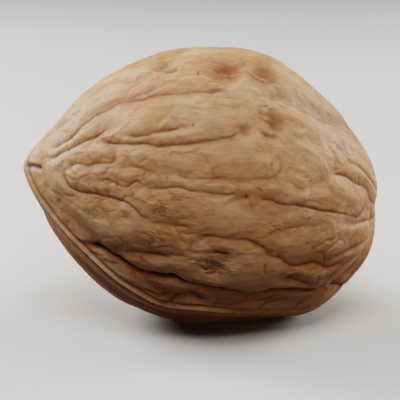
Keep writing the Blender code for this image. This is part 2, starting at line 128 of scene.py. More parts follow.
FURROWS = (
    # The long upper crease, from the tip over the shoulder.
    (0.3, 0.4, 0.4, (-17.8, 4.0), (-17.2, 4.4), (-16.4, 4.9), (-15.7, 5.3), (-15.0, 5.8), (-14.4, 6.5),
     (-13.7, 7.1), (-12.9, 7.7), (-12.0, 8.3), (-11.0, 8.8), (-10.2, 9.3), (-9.4, 9.7), (-7.7, 9.95),
     (-6.7, 10.1), (-5.7, 10.45), (-4.3, 10.65), (-3.0, 10.75), (-1.5, 10.8), (-0.2, 10.95), (1.0, 10.9),
     (2.5, 11.0), (4.0, 11.1)),
    (0.25, 0.4, 0.5, (6.8, 10.9), (7.5, 10.5), (8.5, 10.15), (9.4, 9.95), (10.2, 9.55), (11.0, 9.3),
     (12.0, 8.85), (13.0, 8.3), (13.9, 7.75), (14.6, 7.5), (15.6, 7.3), (16.6, 6.9), (17.2, 6.3),
     (18.0, 5.8), (18.8, 5.3)),
    # The fold above the front pillow, and its branches.
    (0.32, 0.4, 0.5, (-18.3, 3.0), (-17.3, 3.25), (-16.4, 3.8), (-15.6, 4.1), (-15.0, 4.5), (-14.3, 4.8),
     (-13.5, 5.25), (-12.5, 5.5), (-11.7, 6.1), (-10.8, 6.55), (-9.9, 6.6)),
    (0.3, 0.4, 0.55, (-9.5, 5.9), (-8.5, 5.75), (-7.5, 5.65), (-6.5, 5.8), (-5.8, 6.1), (-5.0, 6.3),
     (-4.3, 6.35), (-3.0, 6.6), (-2.2, 6.75), (-0.9, 7.0)),
    (0.15, 0.3, 0.2, (-5.0, 7.6), (-5.05, 7.0), (-5.0, 6.4)),
    (0.36, 0.42, 0.6, (-12.4, 5.5), (-11.5, 5.1), (-10.5, 4.9), (-9.5, 4.85), (-8.6, 4.75), (-7.5, 4.8),
     (-6.3, 4.85), (-5.5, 4.6), (-4.5, 4.6), (-3.0, 4.7), (-1.5, 4.8), (0.0, 5.0), (1.2, 5.2),
     (2.4, 5.4), (3.4, 5.6), (4.2, 6.0), (5.1, 6.15), (5.7, 6.1)),
    # Round the front pillow.
    (0.22, 0.4, 0.45, (-16.3, 1.9), (-15.5, 2.1), (-14.9, 2.4), (-13.6, 2.35), (-12.7, 2.4), (-11.6, 2.55),
     (-10.6, 2.6), (-10.2, 3.0), (-10.2, 3.7), (-9.9, 4.3)),
    (0.13, 0.4, 0.25, (-10.3, 2.5), (-9.3, 2.2), (-8.0, 2.1), (-7.1, 1.9), (-6.3, 1.5), (-5.2, 1.3),
     (-4.0, 1.2), (-2.8, 1.15), (-2.0, 0.8), (-1.0, 0.6), (0.3, 0.65), (2.0, 0.7), (3.5, 0.6),
     (5.0, 0.4), (6.5, 0.55), (8.0, 0.7), (9.1, 1.1), (9.5, 2.0), (9.3, 3.0), (8.7, 3.6), (7.8, 3.7)),
    (0.1, 0.25, 0.1, (0.2, 2.2), (0.1, 1.6), (-0.1, 1.0)),
    # The forked furrow at the tip, and its long lower branch.
    (0.28, 0.3, 0.75, (-17.0, 1.4), (-16.4, 1.3), (-16.1, 1.0), (-15.9, 0.5), (-15.6, 0.0), (-15.1, -0.5),
     (-14.5, -0.8), (-13.3, -1.0), (-12.4, -1.15), (-11.6, -1.35), (-10.7, -1.5), (-9.6, -1.85),
     (-9.0, -2.05), (-8.4, -2.4), (-7.8, -2.8), (-7.4, -3.3), (-7.0, -3.8), (-6.4, -4.1), (-5.8, -4.4)),
    (0.2, 0.32, 0.55, (-6.4, -4.1), (-5.8, -4.4), (-4.7, -4.55), (-3.8, -4.7), (-3.2, -4.85),
     (-2.1, -4.95), (-1.5, -5.2), (-1.2, -5.7), (-0.9, -6.1)),
    (0.28, 0.35, 0.65, (-1.2, -5.8), (-0.9, -6.1), (0.2, -6.15), (1.5, -6.1), (2.6, -6.3), (4.0, -6.45),
     (5.2, -6.5), (6.0, -6.8), (6.7, -7.1), (7.4, -7.4), (7.8, -8.0), (8.4, -8.4), (9.3, -8.7),
     (9.9, -9.2), (10.5, -9.5), (11.1, -9.65), (12.0, -9.45), (13.2, -9.2), (14.0, -9.4), (14.7, -9.75),
     (15.4, -9.6), (16.2, -9.3), (16.8, -9.5)),
    # The thin furrow along the middle.
    (0.17, 0.28, 0.55, (-13.0, 0.45), (-12.0, 0.45), (-11.0, 0.55), (-10.3, 0.3), (-9.9, 0.05),
     (-9.3, -0.2), (-8.7, -0.25), (-8.1, 0.2), (-7.7, 0.45), (-7.0, 0.1), (-6.6, -0.1), (-6.0, -0.4)),
    (0.2, 0.3, 0.6, (-6.6, -0.1), (-6.0, -0.4), (-5.0, -0.45), (-3.5, -0.35), (-2.3, -0.4), (-1.6, -0.65),
     (-1.0, -0.8), (0.2, -0.85), (1.2, -1.0), (2.2, -1.2), (3.2, -1.15), (4.0, -1.2), (4.8, -1.35),
     (5.3, -1.45), (5.8, -1.3), (6.6, -1.35)),
    (0.27, 0.3, 0.75, (5.8, -1.3), (6.6, -1.35), (7.5, -1.7), (8.5, -1.9), (9.2, -2.25), (9.9, -2.4),
     (11.0, -2.4), (12.0, -2.6), (13.2, -2.85), (14.1, -3.05), (15.0, -3.15), (16.2, -3.4), (17.2, -3.5),
     (18.0, -3.8), (18.4, -3.9), (18.9, -3.4), (19.3, -2.7), (19.35, -2.0)),
    (0.14, 0.28, 0.3, (-6.3, 1.5), (-6.75, 1.1), (-6.8, 0.5), (-6.75, 0.1)),
    (0.15, 0.3, 0.3, (-16.5, -0.8), (-16.1, -1.3), (-15.4, -1.4), (-14.5, -1.4)),
    (0.15, 0.35, 0.3, (-18.1, -2.7), (-17.6, -3.2), (-17.3, -3.9)),
    (0.15, 0.4, 0.2, (-9.4, -4.0), (-8.6, -3.95)),
    # Above the deep furrow.
    (0.3, 0.35, 0.4, (-9.3, -8.1), (-8.5, -8.0), (-7.6, -7.95), (-6.8, -8.0), (-6.0, -8.0)),
    (0.65, 0.3, 0.75, (-6.8, -8.0), (-6.0, -8.0), (-5.4, -8.1), (-4.8, -8.2), (-4.2, -8.25), (-3.6, -8.35)),
    (0.2, 0.32, 0.3, (-4.4, -8.25), (-3.7, -8.3), (-2.6, -8.4), (-1.5, -8.4)),
    (0.18, 0.32, 0.3, (-1.1, -6.1), (-1.15, -7.0), (-1.3, -7.7), (-1.4, -8.4)),
    (0.15, 0.3, 0.3, (-7.0, -9.2), (-7.1, -8.5)),
    # The deep lower furrow.
    (1.4, 0.36, 1.0, (-13.4, -6.7), (-12.8, -6.9), (-12.0, -7.1), (-11.3, -7.4), (-10.6, -7.8),
     (-10.0, -8.2), (-9.5, -8.45), (-9.0, -8.7), (-8.5, -9.0), (-7.9, -9.35), (-7.2, -9.7), (-6.6, -9.9),
     (-6.0, -10.1), (-5.0, -10.25), (-4.0, -10.35), (-3.0, -10.4), (-2.3, -10.75), (-1.6, -11.05),
     (-1.0, -11.2), (0.0, -11.5), (1.0, -11.8), (2.0, -11.9), (3.0, -12.0), (4.0, -12.3), (5.3, -12.5),
     (6.5, -12.3), (7.5, -12.1), (8.5, -12.0), (10.0, -12.0), (11.5, -12.1), (12.4, -12.2), (13.2, -12.1),
     (14.0, -12.0), (14.7, -11.8), (15.6, -11.5), (16.5, -11.3), (17.4, -11.0), (18.2, -10.8)),
    (0.45, 0.45, 0.6, (9.2, -11.0), (10.5, -11.1), (12.5, -11.7), (13.5, -11.8)),
    # Folds at the blunt end.
    (0.32, 0.35, 0.65, (15.0, 0.8), (15.6, 1.2), (16.2, 1.2), (17.0, 1.05), (17.6, 0.6), (18.2, 0.2),
     (19.0, -0.1), (19.5, -0.5), (19.8, -1.2), (20.0, -1.8), (20.3, -2.2), (20.8, -2.5)),
    (0.12, 0.35, 0.25, (9.8, 0.9), (10.6, 0.25), (11.4, -0.4), (12.0, -0.5), (12.8, -0.3), (13.6, 0.0),
     (14.6, 0.4), (15.2, 0.9)),
    (0.12, 0.35, 0.35, (11.0, 1.9), (12.0, 1.6), (12.9, 1.3)),
    (0.2, 0.3, 0.4, (20.0, -3.3), (20.05, -3.9), (20.0, -4.4)),
    (0.15, 0.28, 0.35, (16.8, -4.2), (17.4, -4.3), (18.0, -4.45)),
    (0.14, 0.28, 0.3, (16.9, -6.1), (17.5, -6.0)),
    (0.14, 0.28, 0.3, (17.8, -6.2), (17.5, -7.3)),
    (0.14, 0.3, 0.35, (9.3, -5.6), (10.0, -5.4), (10.6, -5.2), (11.5, -5.05), (12.2, -4.85), (13.0, -4.9),
     (14.0, -4.8), (14.6, -4.65)),
    # Under the deep furrow.
    (0.5, 0.35, 0.4, (-13.2, -8.0), (-12.3, -8.2), (-11.8, -8.5)),
    (0.5, 0.4, 0.3, (-11.7, -8.8), (-10.8, -9.2), (-9.8, -9.5)),
    (0.6, 0.35, 0.55, (-8.3, -11.65), (-7.45, -12.0), (-6.85, -12.25), (-6.0, -12.55), (-5.45, -12.85),
     (-4.75, -13.0), (-4.0, -12.9), (-3.55, -12.5)),
    (0.35, 0.3, 0.4, (-5.9, -12.1), (-5.3, -12.55), (-4.7, -12.65), (-4.1, -12.5)),
    (0.6, 0.32, 0.6, (-7.2, -12.5), (-6.6, -12.95), (-6.0, -13.3), (-5.3, -13.6), (-4.5, -13.6), (-3.7, -13.55),
     (-3.1, -13.35), (-2.7, -13.1), (-1.9, -13.1), (-1.1, -13.2)),
    (0.9, 0.45, 0.7, (-1.9, -12.6), (-1.65, -12.65), (-0.95, -12.95), (-0.25, -13.35), (0.5, -13.5)),
    (0.5, 0.35, 0.5, (0.2, -13.5), (0.8, -13.85), (1.4, -14.0), (2.2, -14.1), (2.8, -14.2), (3.7, -14.2),
     (4.6, -14.1)),
    (0.5, 0.25, 0.5, (6.0, -13.85), (7.2, -13.8), (7.9, -13.5), (8.75, -13.1), (9.5, -12.8)),
    (0.5, 0.25, 0.5, (6.6, -14.65), (7.1, -14.35), (7.6, -14.05), (8.3, -13.9), (8.9, -13.75)),
    (0.45, 0.28, 0.4, (9.7, -14.85), (10.5, -14.65), (11.0, -14.45), (11.5, -14.2), (12.3, -13.9)),
    (0.35, 0.28, 0.35, (10.75, -14.9), (11.7, -14.65), (12.65, -14.3), (13.4, -14.0)),
    (0.22, 0.3, 0.4, (14.0, -11.35), (14.6, -11.1), (15.2, -10.9), (15.9, -10.65)),
    (0.25, 0.3, 0.4, (17.2, -10.4), (17.8, -10.35), (18.4, -10.2), (18.9, -9.8)),
    # The knot's slot and the strokes in its bowl.
    (0.5, 0.32, 0.9, (1.1, -8.0), (1.8, -8.0), (2.5, -8.15), (3.2, -8.2), (3.7, -8.4)),
    (0.4, 0.22, 0.8, (0.0, -9.4), (0.35, -9.9), (0.85, -10.3)),
    (0.3, 0.22, 0.7, (0.45, -9.4), (0.8, -9.3), (1.1, -9.3)),
    (0.35, 0.22, 0.7, (0.3, -10.4), (1.0, -10.55), (1.8, -10.55)),
)
CRACKS = (
    (0.25, 0.2, 0.6, (-0.35, 13.3), (-0.35, 12.9), (-0.35, 12.5)),
    (0.1, 0.2, 0.4, (8.3, 2.8), (8.35, 2.0)),
    (0.12, 0.2, 0.5, (6.7, -0.4), (7.4, -0.8)),
    (0.12, 0.2, 0.4, (16.1, -4.2), (16.1, -5.0)),
    (0.2, 0.2, 0.5, (0.6, -8.8), (0.8, -9.1)),
    (0.15, 0.2, 0.4, (7.5, -9.3), (7.55, -10.0), (7.6, -10.8)),
)
# Each pit: depth, radius, stain and painted shade, then its place. A negative depth is a bump.
PITS = (
    (0.5, 1.3, 0.3, (-4.0, 14.0)),
    (0.2, 0.4, 0.7, (-4.7, 13.8)),
    (0.2, 0.4, 0.7, (-2.9, 13.4)),
    (1.1, 1.9, 0.45, (3.0, 13.2)),
    (0.4, 0.6, 0.7, (3.2, 12.5)),
    (0.35, 0.8, 0.6, (1.8, 13.6)),
    (1.05, 1.7, 0.45, (7.4, 12.8)),
    (0.35, 0.7, 0.7, (7.2, 12.1)),
    (0.3, 0.5, 0.6, (6.1, 12.2)),
    (0.35, 0.8, 0.4, (5.0, 6.2)),
    (0.8, 1.8, 0.35, (8.4, 7.0)),
    (0.3, 0.9, 0.3, (16.6, 4.8)),
    (-0.3, 0.7, 0.0, (10.9, 10.2)),
    # The knot's bowl.
    (0.35, 1.2, 0.35, (2.6, -8.7)),
    (0.45, 1.3, 0.4, (1.5, -9.6)),
    # Spots along the furrows and between them.
    (0.45, 0.4, 0.8, (7.9, -8.05)),
    (0.3, 0.3, 1.0, (5.3, -1.45)),
    (0.2, 0.25, 0.9, (-9.9, 0.05)),
    (0.2, 0.3, 0.6, (-8.05, -1.3)),
    (0.2, 0.5, 0.2, (-16.8, -2.2)),
    (0.2, 0.5, 0.2, (-15.6, -4.7)),
    (0.15, 0.25, 0.6, (-0.9, 7.1)),
    (0.15, 0.25, 0.5, (-9.45, 9.6)),
    (0.15, 0.3, 0.5, (8.2, -5.8)),
    (0.15, 0.3, 0.4, (12.4, -7.0)),
    (0.2, 0.6, 0.1, (18.5, 3.3)),
    # Dips and bumps along the outline over the blunt end.
    (0.5, 1.0, 0.1, (14.9, 9.9)),
    (0.35, 0.8, 0.1, (9.9, 13.8)),
    (-0.4, 0.9, 0.0, (13.0, 11.6)),
    (-0.3, 0.8, 0.0, (7.6, 15.3)),
)
TIP_NOTCH = ((-21.0, 2.5), (-20.2, 2.3), (-19.3, 2.0))

# Each kind of line: its table, the share of its depth that lies in a narrow crease, the
# widths of that crease and of the soft shoulders beside its half width, and whether the
# shell swells away from it.
KINDS = (
    (FOLDS, 0.0, 1.0, 1.0, 0.0),
    (FURROWS, 0.6, 0.42, 1.7, 1.0),
    (CRACKS, 1.0, 0.8, 1.0, 0.0),
)
PIT_KIND = (0.2, 0.7, 1.0, 0.0)
BACK_KIND = (0.5, 0.6, 1.8, 1.0)
LINE_SIZES = ("depth", "crease_share", "crease_width", "shoulder_width", "stain_of_line", "border")
JITTER = 0.09
JITTER_SIZE = 0.8

# Where the skin is scuffed to its fibres: middle on the sheet, half length, half height.
SCUFFS = (
    ((-4.9, -2.8), 1.3, 1.0),
    ((-5.4, -6.4), 1.6, 1.0),
    ((-2.3, -1.6), 0.8, 0.7),
    ((9.0, -5.2), 0.8, 0.6),
    ((1.9, -9.4), 2.0, 1.4),
)

# Furrows on the sides away from the sheet: angles round the nut, in degrees from
# the top, and what chance decides about each.
BACK_FURROWS = (177, 191, 208, 224, 241, 257, 275, 291, 307, 322, 350, 364)
BACK_DEPTHS = (0.3, 0.7)
BACK_HALF_WIDTH = 0.5
BACK_DRIFT_DEGREES = (2.0, 4.5)
BRANCHES = 2
BRANCH_DEPTH = 0.3
BRANCH_HALF_WIDTH = 0.4
BRANCH_ALONG_DEGREES = 14.0
BRANCH_ACROSS_DEGREES = 16.0
WRINKLE_SHARE = 0.17
WRINKLES_ROUND = 24.0
WRINKLES_ALONG = 4.4
WRINKLE_BEND = 0.4
WRINKLE_TURN = 0.12
WRINKLE_FRONT_SHARE = 0.15

# Soft round lights, all at one distance from the nut: name, share of the power, degrees
# to the right of the camera's side, degrees up and colour.
LIGHTS = (
    ("key", 1.05, 0.0, 56.0, "#FAFBFF"),
    ("left rim", 1.83, -120.0, 30.0, "#FFFFFF"),
    ("left", 0.3, -90.0, 43.0, "#FFFFFF"),
    ("right rim", 1.17, 120.0, 20.0, "#FFFFFF"),
    ("right", 0.36, 95.0, 60.0, "#FFFFFF"),
    ("fill", 0.23, 43.0, 2.0, "#FFE2B4"),
)
LIGHT_DISTANCE = 0.4
LIGHT_SIZE = 0.25


def linear(code):
    """A scene-linear colour from an sRGB hex code."""
    parts = [int(code[i:i + 2], 16) / 255.0 for i in (1, 3, 5)]
    return tuple(p / 12.92 if p <= 0.04045 else ((p + 0.055) / 1.055) ** 2.4 for p in parts) + (1.0,)


def add(tree, kind, inputs=None, **settings):
    """A node with its settings; each input takes a value, or the node or socket that feeds it."""
    node = tree.nodes.new(kind)
    for name, value in settings.items():
        setattr(node, name, value)
    for name, value in (inputs or {}).items():
        if isinstance(value, bpy.types.Node):
            value = value.outputs[0]
        if isinstance(value, bpy.types.NodeSocket):
            tree.links.new(value, node.inputs[name])
        else:
            node.inputs[name].default_value = value
    return node


# The shell's form and the lines drawn on it.

def sheet_axes():
    """Unit vectors of the nut on the drawing sheet: tip, top and front."""
    rise = math.radians(TIP_RISE)
    swing = math.radians(TIP_SWING)
    tip = np.array((-math.cos(rise) * math.cos(swing), math.sin(rise) * math.cos(swing), math.sin(swing)))
    top = np.array((math.sin(rise), math.cos(rise), 0.0))
    front = np.array((math.cos(rise) * math.sin(swing), -math.sin(rise) * math.sin(swing), math.cos(swing)))
    return tip, top, front


def meridian(radii, opposite, polar):
    """Radius along one of the four lines, smooth through its steps."""
    knots = np.array((2.0 * radii[0] - radii[1],) + radii + (opposite[-2],))
    place = np.clip(polar / STEP, 0.0, len(radii) - 1.000001)
    row = place.astype(int)
    part = place - row
    a, b, c, d = knots[row], knots[row + 1], knots[row + 2], knots[row + 3]
    return b + 0.5 * part * (c - a + part * (2 * a - 5 * b + 4 * c - d + part * (3 * (b - c) + d - a)))


def shell_radius(polar, around):
    """Distance from the middle to the smooth shell, for angles in degrees."""
    lines = np.stack((
        meridian(OVER_TOP, UNDER, polar),
        meridian(OVER_FRONT, OVER_BACK, polar),
        meridian(UNDER, OVER_TOP, polar),
        meridian(OVER_BACK, OVER_FRONT, polar),
    ))
    quarter = np.floor(around / 90.0).astype(int) % 4
    share = np.sin(np.radians(around - 90.0 * np.floor(around / 90.0))) ** 2
    column = np.arange(len(polar))
    return (1.0 - share) * lines[quarter, column] + share * lines[(quarter + 1) % 4, column]


def angles(points):
    """Angle from the tip and angle round the nut of each point, in degrees."""
    tip, top, front = sheet_axes()
    unit = points / np.linalg.norm(points, axis=1, keepdims=True)
    polar = np.degrees(np.arccos(np.clip(unit @ tip, -1.0, 1.0)))
    around = np.degrees(np.arctan2(unit @ front, unit @ top)) % 360.0
    return polar, around


def on_shell(polar, around):
    """Points on the smooth shell at the given angles."""
    tip, top, front = sheet_axes()
    polar = np.asarray(polar, dtype=float)
    around = np.asarray(around, dtype=float) % 360.0
    p = np.radians(polar)[:, None]
    a = np.radians(around)[:, None]
    unit = np.cos(p) * tip + np.sin(p) * (np.cos(a) * top + np.sin(a) * front)
    return unit * shell_radius(polar, around)[:, None]


def smooth_line(points, pieces=3):
    """A smooth line through the points, with more points between them."""
    knots = np.array(points, dtype=float)
    knots = np.vstack((2 * knots[:1] - knots[1:2], knots, 2 * knots[-1:] - knots[-2:-1]))
    out = []
    for i in range(1, len(knots) - 2):
        a, b, c, d = knots[i - 1:i + 3]
        for step in range(pieces):
            t = step / pieces
            out.append(b + 0.5 * t * (c - a + t * (2 * a - 5 * b + 4 * c - d + t * (3 * (b - c) + d - a))))
    out.append(knots[-2])
    return np.array(out)


def lumps(points):
    """Slow rise and fall of the shell."""
    scaled = points / LUMP_SIZE
    return LUMP_HEIGHT * np.array([noise.noise((x, y + 4.0, z)) for x, y, z in scaled])


def lay_on_shell(drawn, sunk=0.0):
    """Lay points of the drawing sheet on the front of the smooth shell, so that they show where
    they are drawn once the shell is pressed in by the given depth there."""
    drawn = np.asarray(drawn, dtype=float)
    flat = np.column_stack((drawn, np.zeros(len(drawn))))
    eye = np.array(EYE)
    outside = np.full(len(drawn), 24.0 / EYE[2])
    inside = np.zeros(len(drawn))
    for _ in range(24):
        middle = 0.5 * (outside + inside)
        spot = flat + (eye - flat) * middle[:, None]
        clear = np.linalg.norm(spot, axis=1) > shell_radius(*angles(spot)) + lumps(spot) - sunk
        outside = np.where(clear, middle, outside)
        inside = np.where(clear, inside, middle)
    spot = flat + (eye - flat) * outside[:, None]
    return on_shell(*angles(spot))


def seam_line(turns):
    """The seam from tip to blunt end, at the given angles round the nut."""
    polar = np.linspace(0.0, 180.0, 91)
    return on_shell(polar, meridian(turns, turns, polar))


def wandering_furrow(rng, around, start, end):
    """A furrow along the nut whose angle round it drifts a little."""
    polar = np.arange(start, end, 5.0)
    phase = rng.uniform(0.0, 360.0)
    drift = rng.uniform(*BACK_DRIFT_DEGREES)
    bend = drift * np.sin(np.radians(polar * rng.uniform(3.0, 5.0) + phase))
    return on_shell(polar, around + bend)


def back_lines(seed):
    """Long furrows and their side branches on the sides away from the sheet."""
    rng = random.Random(seed)
    lines = []
    for i, around in enumerate(BACK_FURROWS):
        gap = rng.uniform(60.0, 120.0)
        depth = rng.uniform(*BACK_DEPTHS)
        first = wandering_furrow(rng, around, rng.uniform(10.0, 30.0), gap)
        second = wandering_furrow(rng, around + rng.uniform(-6.0, 6.0), gap + 6.0, rng.uniform(145.0, 170.0))
        lines += [(depth, BACK_HALF_WIDTH, depth, first), (depth, BACK_HALF_WIDTH, depth, second)]
        if i + 1 < len(BACK_FURROWS) and BACK_FURROWS[i + 1] - around < 20:
            for _ in range(BRANCHES):
                polar = rng.uniform(35.0, 145.0)
                slant = np.linspace(0.0, 1.0, 6)
                branch = on_shell(polar + BRANCH_ALONG_DEGREES * slant, around + BRANCH_ACROSS_DEGREES * slant)
                lines.append((BRANCH_DEPTH, BRANCH_HALF_WIDTH, BRANCH_DEPTH, branch))
    return lines


def lifted(line, half_width):
    """The line with both ends raised off the shell, so that its mark runs out."""
    if len(line) < 3:
        return line
    run = np.r_[0.0, np.cumsum(np.linalg.norm(np.diff(line, axis=0), axis=1))]
    reach = min(2.5, 0.3 * run[-1])
    near_end = np.clip(1.0 - np.minimum(run, run[-1] - run) / reach, 0.0, 1.0)
    out = line / np.linalg.norm(line, axis=1, keepdims=True)
    return line + out * (1.5 * half_width * near_end ** 2)[:, None]


def stand_up(points, scale):
    """Turn from the drawing sheet's axes, in millimetres, to the world's, in metres."""
    lean = math.radians(SHEET_LEAN)
    x = points[:, 0]
    y = points[:, 1] * math.sin(lean) - points[:, 2] * math.cos(lean)
    z = points[:, 1] * math.cos(lean) + points[:, 2] * math.sin(lean)
    return (np.column_stack((x, y, z)) + np.array(CENTRE)) * MM * scale


def jittered(line):
    """The line with a slight unsteadiness."""
    sway = [noise.noise_vector(tuple(point / JITTER_SIZE)) for point in line]
    return line + JITTER * np.array(sway)


def sizes_of(kind, depth, half_width, stain):
    """A line's numbers, in the order of LINE_SIZES and with lengths in millimetres."""
    share, crease, shoulder, border = kind
    return depth, share, crease * half_width, shoulder * half_width, stain, border


def drawn_lines(seed, furrow_depth):
    """Every fold, furrow, crack and pit as its sizes and a line on the shell."""
    lines = []
    for table, *kind in KINDS:
        for depth, half_width, stain, *points in table:
            line = jittered(lay_on_shell(smooth_line(points), depth * furrow_depth))
            lines.append((sizes_of(kind, depth, half_width, stain), lifted(line, half_width)))
    for depth, half_width, stain, line in back_lines(seed):
        lines.append((sizes_of(BACK_KIND, depth, half_width, stain), lifted(jittered(line), half_width)))
    for depth, radius, stain, place in PITS:
        spot = lay_on_shell([place], depth * furrow_depth)
        lines.append((sizes_of(PIT_KIND, depth, radius, stain), np.vstack((spot, spot + 0.01))))
    return lines


def line_object(name, lines, scale):
    """Loose edges along the lines, with each line's number and sizes on its edges."""
    points, edges, numbers, sizes = [], [], [], []
    for number, (line_sizes, line) in enumerate(lines):
        start = len(points)
        points += list(stand_up(line, scale))
        edges += [(start + i, start + i + 1) for i in range(len(line) - 1)]
        numbers += [number] * (len(line) - 1)
        sizes += [line_sizes] * (len(line) - 1)
    mesh = bpy.data.meshes.new(name)
    mesh.from_pydata(points, edges, [])
    mesh.attributes.new("line", "INT", "EDGE").data.foreach_set("value", numbers)
    for column, label in enumerate(LINE_SIZES[:len(sizes[0])]):
        length = MM * scale if label in ("depth", "crease_width", "shoulder_width") else 1.0
        values = [row[column] * length for row in sizes]
        mesh.attributes.new(label, "FLOAT", "EDGE").data.foreach_set("value", values)
    made = bpy.data.objects.new(name, mesh)
    bpy.context.scene.collection.objects.link(made)
    return made


def cube_sphere(rows):
    """A sphere of evenly spread faces, from a finely divided cube."""
    bm = bmesh.new()
    bmesh.ops.create_cube(bm, size=2.0)
    bmesh.ops.subdivide_edges(bm, edges=bm.edges[:], cuts=rows - 1, use_grid_fill=True)
    mesh = bpy.data.meshes.new("smooth_shell")
    bm.to_mesh(mesh)
    bm.free()
    place = np.empty(3 * len(mesh.vertices))
    mesh.vertices.foreach_get("co", place)
    place = np.tan(place.reshape(-1, 3) * math.pi / 4.0)
    return mesh, place / np.linalg.norm(place, axis=1, keepdims=True)


def wrinkles(unit):
    """How strongly each point lies in a short wrinkle, full on the sides away from the sheet."""
    polar, around = angles(unit)
    ring = WRINKLES_ROUND / math.tau
    depth = np.zeros(len(unit))
    for i in range(len(unit)):
        x, y, z = unit[i]
        bend = noise.noise((4.0 * x, 4.0 * y, 4.0 * z + 9.0))
        turn = math.radians(around[i]) + WRINKLE_TURN * bend
        along = WRINKLES_ALONG * polar[i] / 180.0 + WRINKLE_BEND * bend
        spot = (ring * math.cos(turn) + 3.3, ring * math.sin(turn) + 5.7, along + 1.9)
        depth[i] = math.exp(-(abs(noise.noise(spot)) / WRINKLE_SHARE) ** 1.3)
    facing = np.clip((unit[:, 2] - 0.1) / 0.45, 0.0, 1.0)
    share = 1.0 - (1.0 - WRINKLE_FRONT_SHARE) * facing
    ends = np.clip((np.sin(np.radians(polar)) - 0.15) / 0.4, 0.0, 1.0)
    return share * ends * depth


def scuffed(points):
    """How scuffed each point is, from 0 to 1."""
    tip, top, front = sheet_axes()
    worn = np.zeros(len(points))
    for place, half_length, half_height in SCUFFS:
        centre = lay_on_shell([place])[0]
        gap = points - centre
        along = (gap @ tip) / half_length
        across = np.sqrt(np.maximum((gap * gap).sum(axis=1) - (gap @ tip) ** 2, 0.0)) / half_height
        worn = np.maximum(worn, np.clip(1.6 - np.hypot(along, across), 0.0, 1.0))
    return worn


def quiet_share(polar, around):
    """Where the shell is nearly smooth: below the seam, on the half of the nut with the tip; the material darkens it
    there with painted shade.
    """
    below = np.clip((around - 148.0) / 8.0, 0.0, 1.0) * np.clip((196.0 - around) / 12.0, 0.0, 1.0)
    return below * np.clip((108.0 - polar) / 22.0, 0.0, 1.0)


def seam_share(polar, around):
    """How strongly the seam stands out: it sinks for a stretch of the underside, and is whole
    again before the blunt end, where the seam's two halves meet."""
    below = np.clip((np.cos(np.radians(around - SEAM_SUNK_AROUND)) - 0.3) / 0.4, 0.0, 1.0)
    start, sunk, rising, whole = SEAM_SUNK_POLAR
    along = np.interp(polar, (start, sunk, rising, whole), (0.0, 1.0, 1.0, 0.0))
    return 1.0 - SEAM_SUNK_SHARE * below * along


def gathered(unit):
    """The points drawn together towards the front, where the finest creases lie."""
    tip, top, front = sheet_axes()
    height = unit @ front
    share = GATHER * GATHER
    squeezed = (share * (1.0 + height) - (1.0 - height)) / (share * (1.0 + height) + (1.0 - height))
    aside = unit - height[:, None] * front
    spread = np.sqrt((1.0 - squeezed ** 2) / np.maximum(1.0 - height ** 2, 1e-12))
    return squeezed[:, None] * front + spread[:, None] * aside


def smooth_shell(rows, scale):
    """The smooth shell as an object, with what the relief needs to know at each point."""
    mesh, unit = cube_sphere(rows)
    unit = gathered(unit)
    polar, around = angles(unit)
    points = unit * shell_radius(polar, around)[:, None]
    lump = MM * scale * lumps(points)
    mesh.vertices.foreach_set("co", stand_up(points, scale).ravel())
    mesh.update()
    for label, values in (("lump", lump), ("wrinkle", wrinkles(unit)), ("scuff", scuffed(points)),
                          ("quiet", quiet_share(polar, around)), ("seam_share", seam_share(polar, around))):
        mesh.attributes.new(label, "FLOAT", "POINT").data.foreach_set("value", values)
    mesh.shade_smooth()
    made = bpy.data.objects.new("smooth_shell", mesh)
    bpy.context.scene.collection.objects.link(made)
    return made


# The relief, as Geometry Nodes.

RELIEF_INPUTS = (
    ("Shell", "NodeSocketGeometry"),
    ("Lines", "NodeSocketObject"),
    ("Line Count", "NodeSocketInt"),
    ("Seam", "NodeSocketObject"),
    ("Notch", "NodeSocketObject"),
    ("Furrow Depth", "NodeSocketFloat"),
    ("Pillow Height", "NodeSocketFloat"),
    ("Pillow Spread", "NodeSocketFloat"),
    ("Wrinkle Depth", "NodeSocketFloat"),
    ("Seam Height", "NodeSocketFloat"),
    ("Seam Half Width", "NodeSocketFloat"),
    ("Groove Depth", "NodeSocketFloat"),
    ("Groove Half Width", "NodeSocketFloat"),
    ("Recess Depth", "NodeSocketFloat"),
    ("Recess Offset", "NodeSocketFloat"),
    ("Recess Half Width", "NodeSocketFloat"),
    ("Flank Depth", "NodeSocketFloat"),
    ("Flank Offset", "NodeSocketFloat"),
    ("Flank Half Width", "NodeSocketFloat"),
    ("Notch Depth", "NodeSocketFloat"),
    ("Notch Half Width", "NodeSocketFloat"),
    ("Net Depth", "NodeSocketFloat"),
    ("Net Half Width", "NodeSocketFloat"),
    ("Net Size", "NodeSocketFloat"),
    ("Skin Height", "NodeSocketFloat"),
    ("Skin Size", "NodeSocketFloat"),
    ("Grit Height", "NodeSocketFloat"),
    ("Grit Size", "NodeSocketFloat"),
    ("Floor", "NodeSocketFloat"),
    ("Material", "NodeSocketMaterial"),
)
CREASE_EDGE = 1.5
SOFT_EDGE = 2.0


